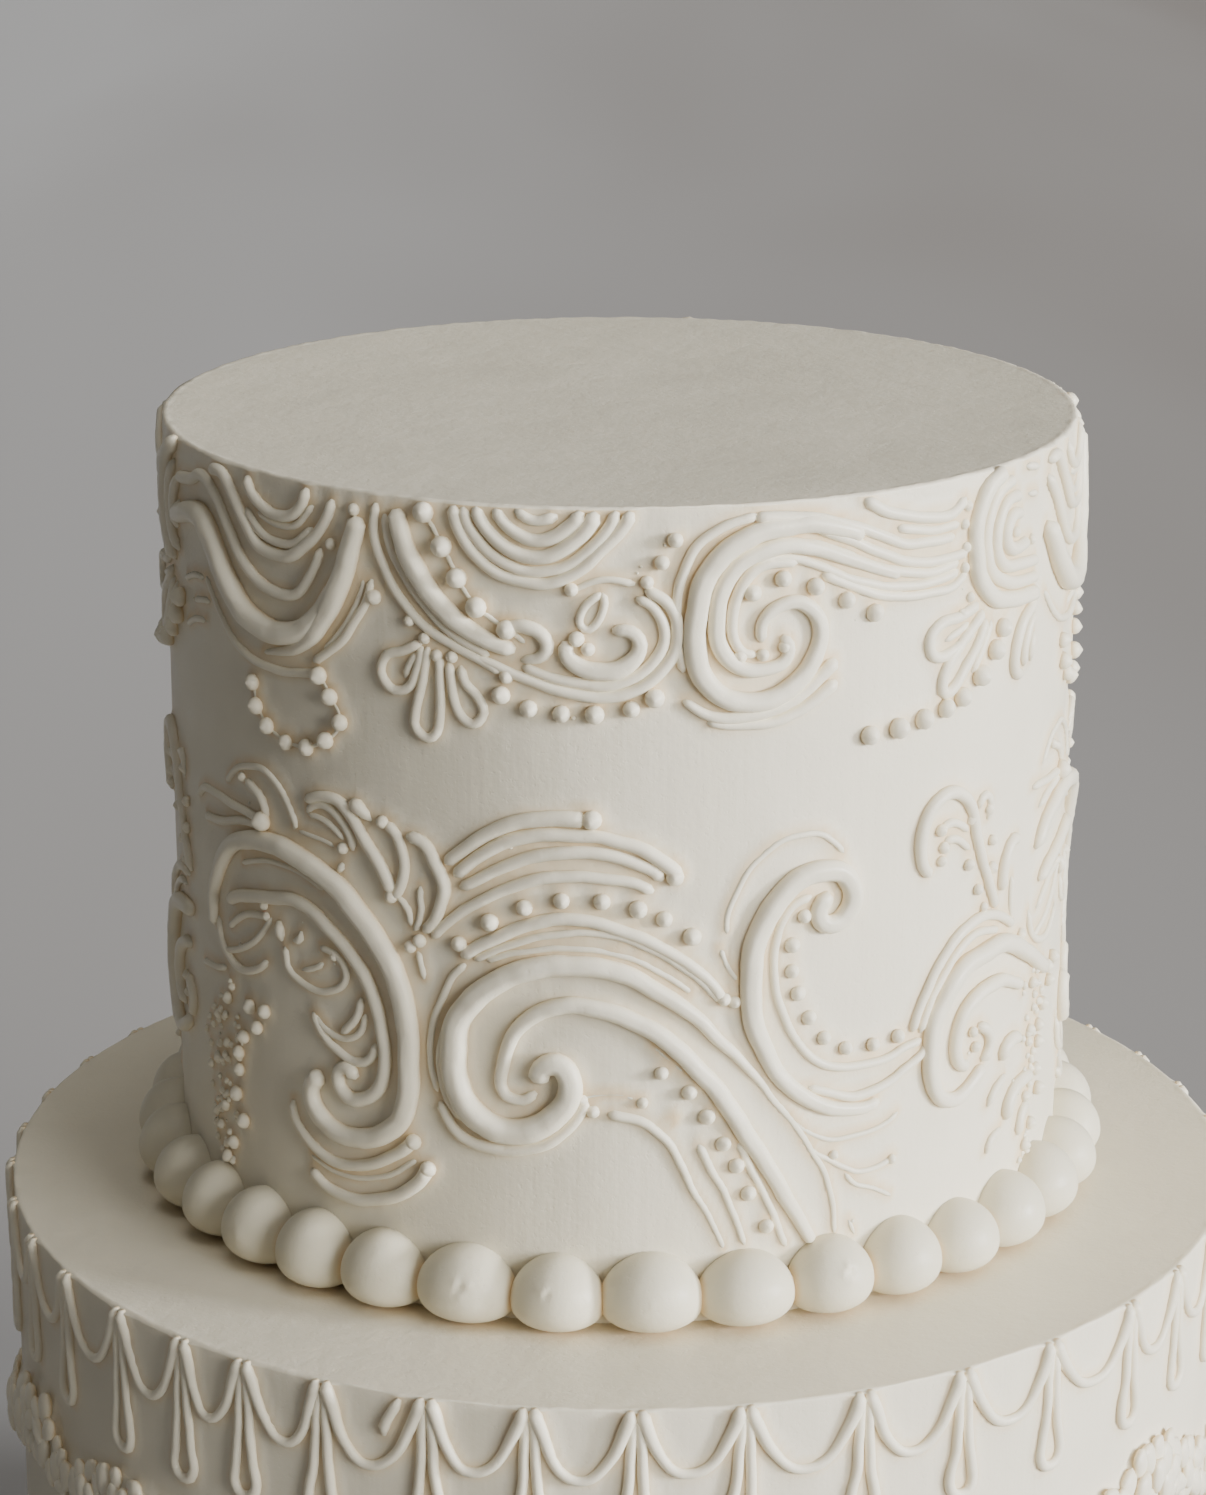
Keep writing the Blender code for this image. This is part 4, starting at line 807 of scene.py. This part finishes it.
def dollop(batch, turns, half_depth, middle, foot, height, mark, columns, rows):
    """A round dollop of icing between two turns, which meets its neighbours in small flat seams. middle is
    its distance from the cake's axis. mark lists the bumps and dimples that the nozzle left: place across and
    up, radius and height."""
    turn, spare = 0.5 * (turns[0] + turns[1]), 0.5 * (turns[1] - turns[0])
    along = np.sin(np.linspace(-0.5, 0.5, rows) * math.pi)[:, None] * 0.998
    girth = (1 - (along / 1.07) ** 2) ** 0.56
    phase = 2 * math.pi * np.arange(columns) / columns
    rise = np.sin(phase)
    x = half_depth * girth * np.cos(phase)
    up = height * (0.42 + np.where(rise > 0, 0.58 * girth, 0.42 * girth**0.6) * rise)
    across = middle * spare * along
    for place, high, radius, tall in mark:
        x = x + (x > 0) * tall * np.exp(-((across - place) ** 2 + (up - high) ** 2) / radius**2)
    reach = np.maximum(middle + x, middle - 3.0)
    angle = turn + spare * along
    points = np.stack([reach * np.sin(angle), -reach * np.cos(angle), foot + np.maximum(up, 0.02)], axis=-1)
    # Painted shade: a warm colour along the seams with the neighbours and at the foot, where the ball meets
    # the shelf.
    crease = np.clip((np.abs(along) - 0.9) / 0.1, 0, 1) * 0.7 + np.clip(1 - up / 1.2, 0, 1)
    batch.rings(points, np.clip(crease, 0, 1))


def chance_mark():
    """Bumps on about one ball in four."""
    if RNG.random() > 0.25:
        return []
    across, up = RNG.normal(0, 1.0), RNG.uniform(6.5, 9)
    bumps = []
    for _ in range(3):
        bumps.append((across + RNG.normal(0, 0.6), up + RNG.normal(0, 0.6), 0.5, RNG.uniform(-0.4, 0.5)))
    return bumps


def border_pieces(piped):
    """The balls round the foot of the upper tier and the dollops round the foot of the lower one."""
    top, low = Batch(), Batch()
    seams = SEAMS + [place + RNG.normal(0, 0.25) for place in rest_of_round(SEAMS, 360, BALLS)]
    seams.append(SEAMS[0] + 360)
    seams = [math.radians(seam) for seam in seams]
    for i, turns in enumerate(zip(seams, seams[1:])):
        mark = MARKS.get(i, []) if i < len(SEAMS) else chance_mark()
        columns, rows = (72, 54) if i in MARKS else (44, 28)
        dollop(top, turns, half_depth=6.9, middle=77.4 + RNG.normal(0, 0.08), foot=BASE_H + 0.1,
               height=12.5 + RNG.normal(0, 0.18), mark=mark, columns=columns, rows=rows)
    top.piece("top_border", piped, "icing_piped", *[f"ball_{i:02d}" for i in range(BALLS)])
    starts = np.radians((np.arange(DOLLOPS) - 0.5) * 360 / DOLLOPS) + RNG.normal(0, 0.004, DOLLOPS)
    for turns in zip(starts, [*starts[1:], starts[0] + 2 * math.pi]):
        dollop(low, turns, half_depth=7.6, middle=107.2, foot=0.0, height=13.2 + RNG.normal(0, 0.15),
               mark=chance_mark(), columns=40, rows=26)
    low.piece("lower_border", piped, "icing_piped", "foot_border")


def floor_material():
    """A plain grey backdrop, a little darker to the right, with painted shade on the floor just in front of
    the cake, so that less light bounces up onto its shaded side.
    """
    shading = Shading("floor")
    split = shading.set(shading.nodes.new("ShaderNodeSeparateXYZ"), {"Vector": shading.place})
    cloud = shading.noise(2.5, 2.0, shading.stretched((1.0, 0.22, 1.0)), distortion=0.4)
    aside = shading.nodes.new("ShaderNodeMath")
    aside.operation = "MULTIPLY_ADD"
    shading.set(aside, {0: split.outputs["X"], 1: 0.9, 2: cloud})
    backdrop = shading.mix(aside.outputs["Value"], (0.49, 0.485, 0.48), (0.305, 0.28, 0.26))
    # Painted shade: the floor in front of the cake is darker, so that it throws less light back onto the
    # cake.
    behind = shading.spread(split.outputs["Y"], -0.15, 0.3, 0, 1)
    shading.set(shading.shader, {
        "Base Color": shading.mix(behind, (0.26, 0.256, 0.25), backdrop),
        "Roughness": 0.9,
        "Specular IOR Level": 0.1,
    })
    return shading.material


def stage_and_light():
    bpy.ops.mesh.primitive_circle_add(vertices=96, radius=7.0, fill_type="NGON")
    floor = bpy.context.object
    floor.name = "floor"
    floor.data.materials.append(floor_material())

    for name, energy, width, side, high, colour in LIGHTS:
        sun = bpy.data.lights.new(name, "SUN")
        sun.energy, sun.color = energy, colour
        sun.angle = math.radians(width)
        lamp = bpy.data.objects.new(name, sun)
        bpy.context.scene.collection.objects.link(lamp)
        side, high = math.radians(side), math.radians(high)
        toward = Vector((math.sin(side) * math.cos(high), -math.cos(side) * math.cos(high), math.sin(high)))
        lamp.rotation_mode = "QUATERNION"
        lamp.rotation_quaternion = toward.to_track_quat("Z", "Y")
        lamp.location = toward * 2

    world = bpy.data.worlds.new("studio")
    bpy.context.scene.world = world
    world.use_nodes = True
    background = world.node_tree.nodes["Background"]
    background.inputs["Color"].default_value = (0.03, 0.03, 0.031, 1)
    background.inputs["Strength"].default_value = 1.0


def camera():
    """The photograph's camera, fitted to the rims and the balls."""
    lens = bpy.data.cameras.new("camera")
    lens.sensor_width = 36
    lens.lens = 95.68
    made = bpy.data.objects.new("camera", lens)
    bpy.context.scene.collection.objects.link(made)
    made.location = CAMERA_PLACE
    made.rotation_euler = (math.radians(90 - CAMERA_DOWN), 0, 0)
    bpy.context.scene.camera = made


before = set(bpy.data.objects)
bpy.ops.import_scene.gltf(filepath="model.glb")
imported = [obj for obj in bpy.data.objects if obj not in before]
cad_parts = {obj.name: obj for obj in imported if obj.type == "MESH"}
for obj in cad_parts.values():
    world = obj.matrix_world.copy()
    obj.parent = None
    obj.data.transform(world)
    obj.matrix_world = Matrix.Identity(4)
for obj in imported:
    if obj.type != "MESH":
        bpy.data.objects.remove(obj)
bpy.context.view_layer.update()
camera()
piped = icing_material("icing_piped", IVORY_PIPED, PAINTED_SHADE_WARM, 0.36)
smooth_wall = icing_material("icing_wall", IVORY_WALL, PAINTED_SHADE_WARM, 0.44, streaks=(420, 420, 24))
scroll_pieces(piped, smooth_wall)
lower_tier_pieces(piped, smooth_wall)
# The balls' icing is the piped ivory made darker, as painted shade, with its own painted crease shade.
border_pieces(icing_material("icing_balls_painted_shade", IVORY_BALLS_PAINTED_SHADE, PAINTED_SHADE_WARM_BALLS, 0.38))
stage_and_light()
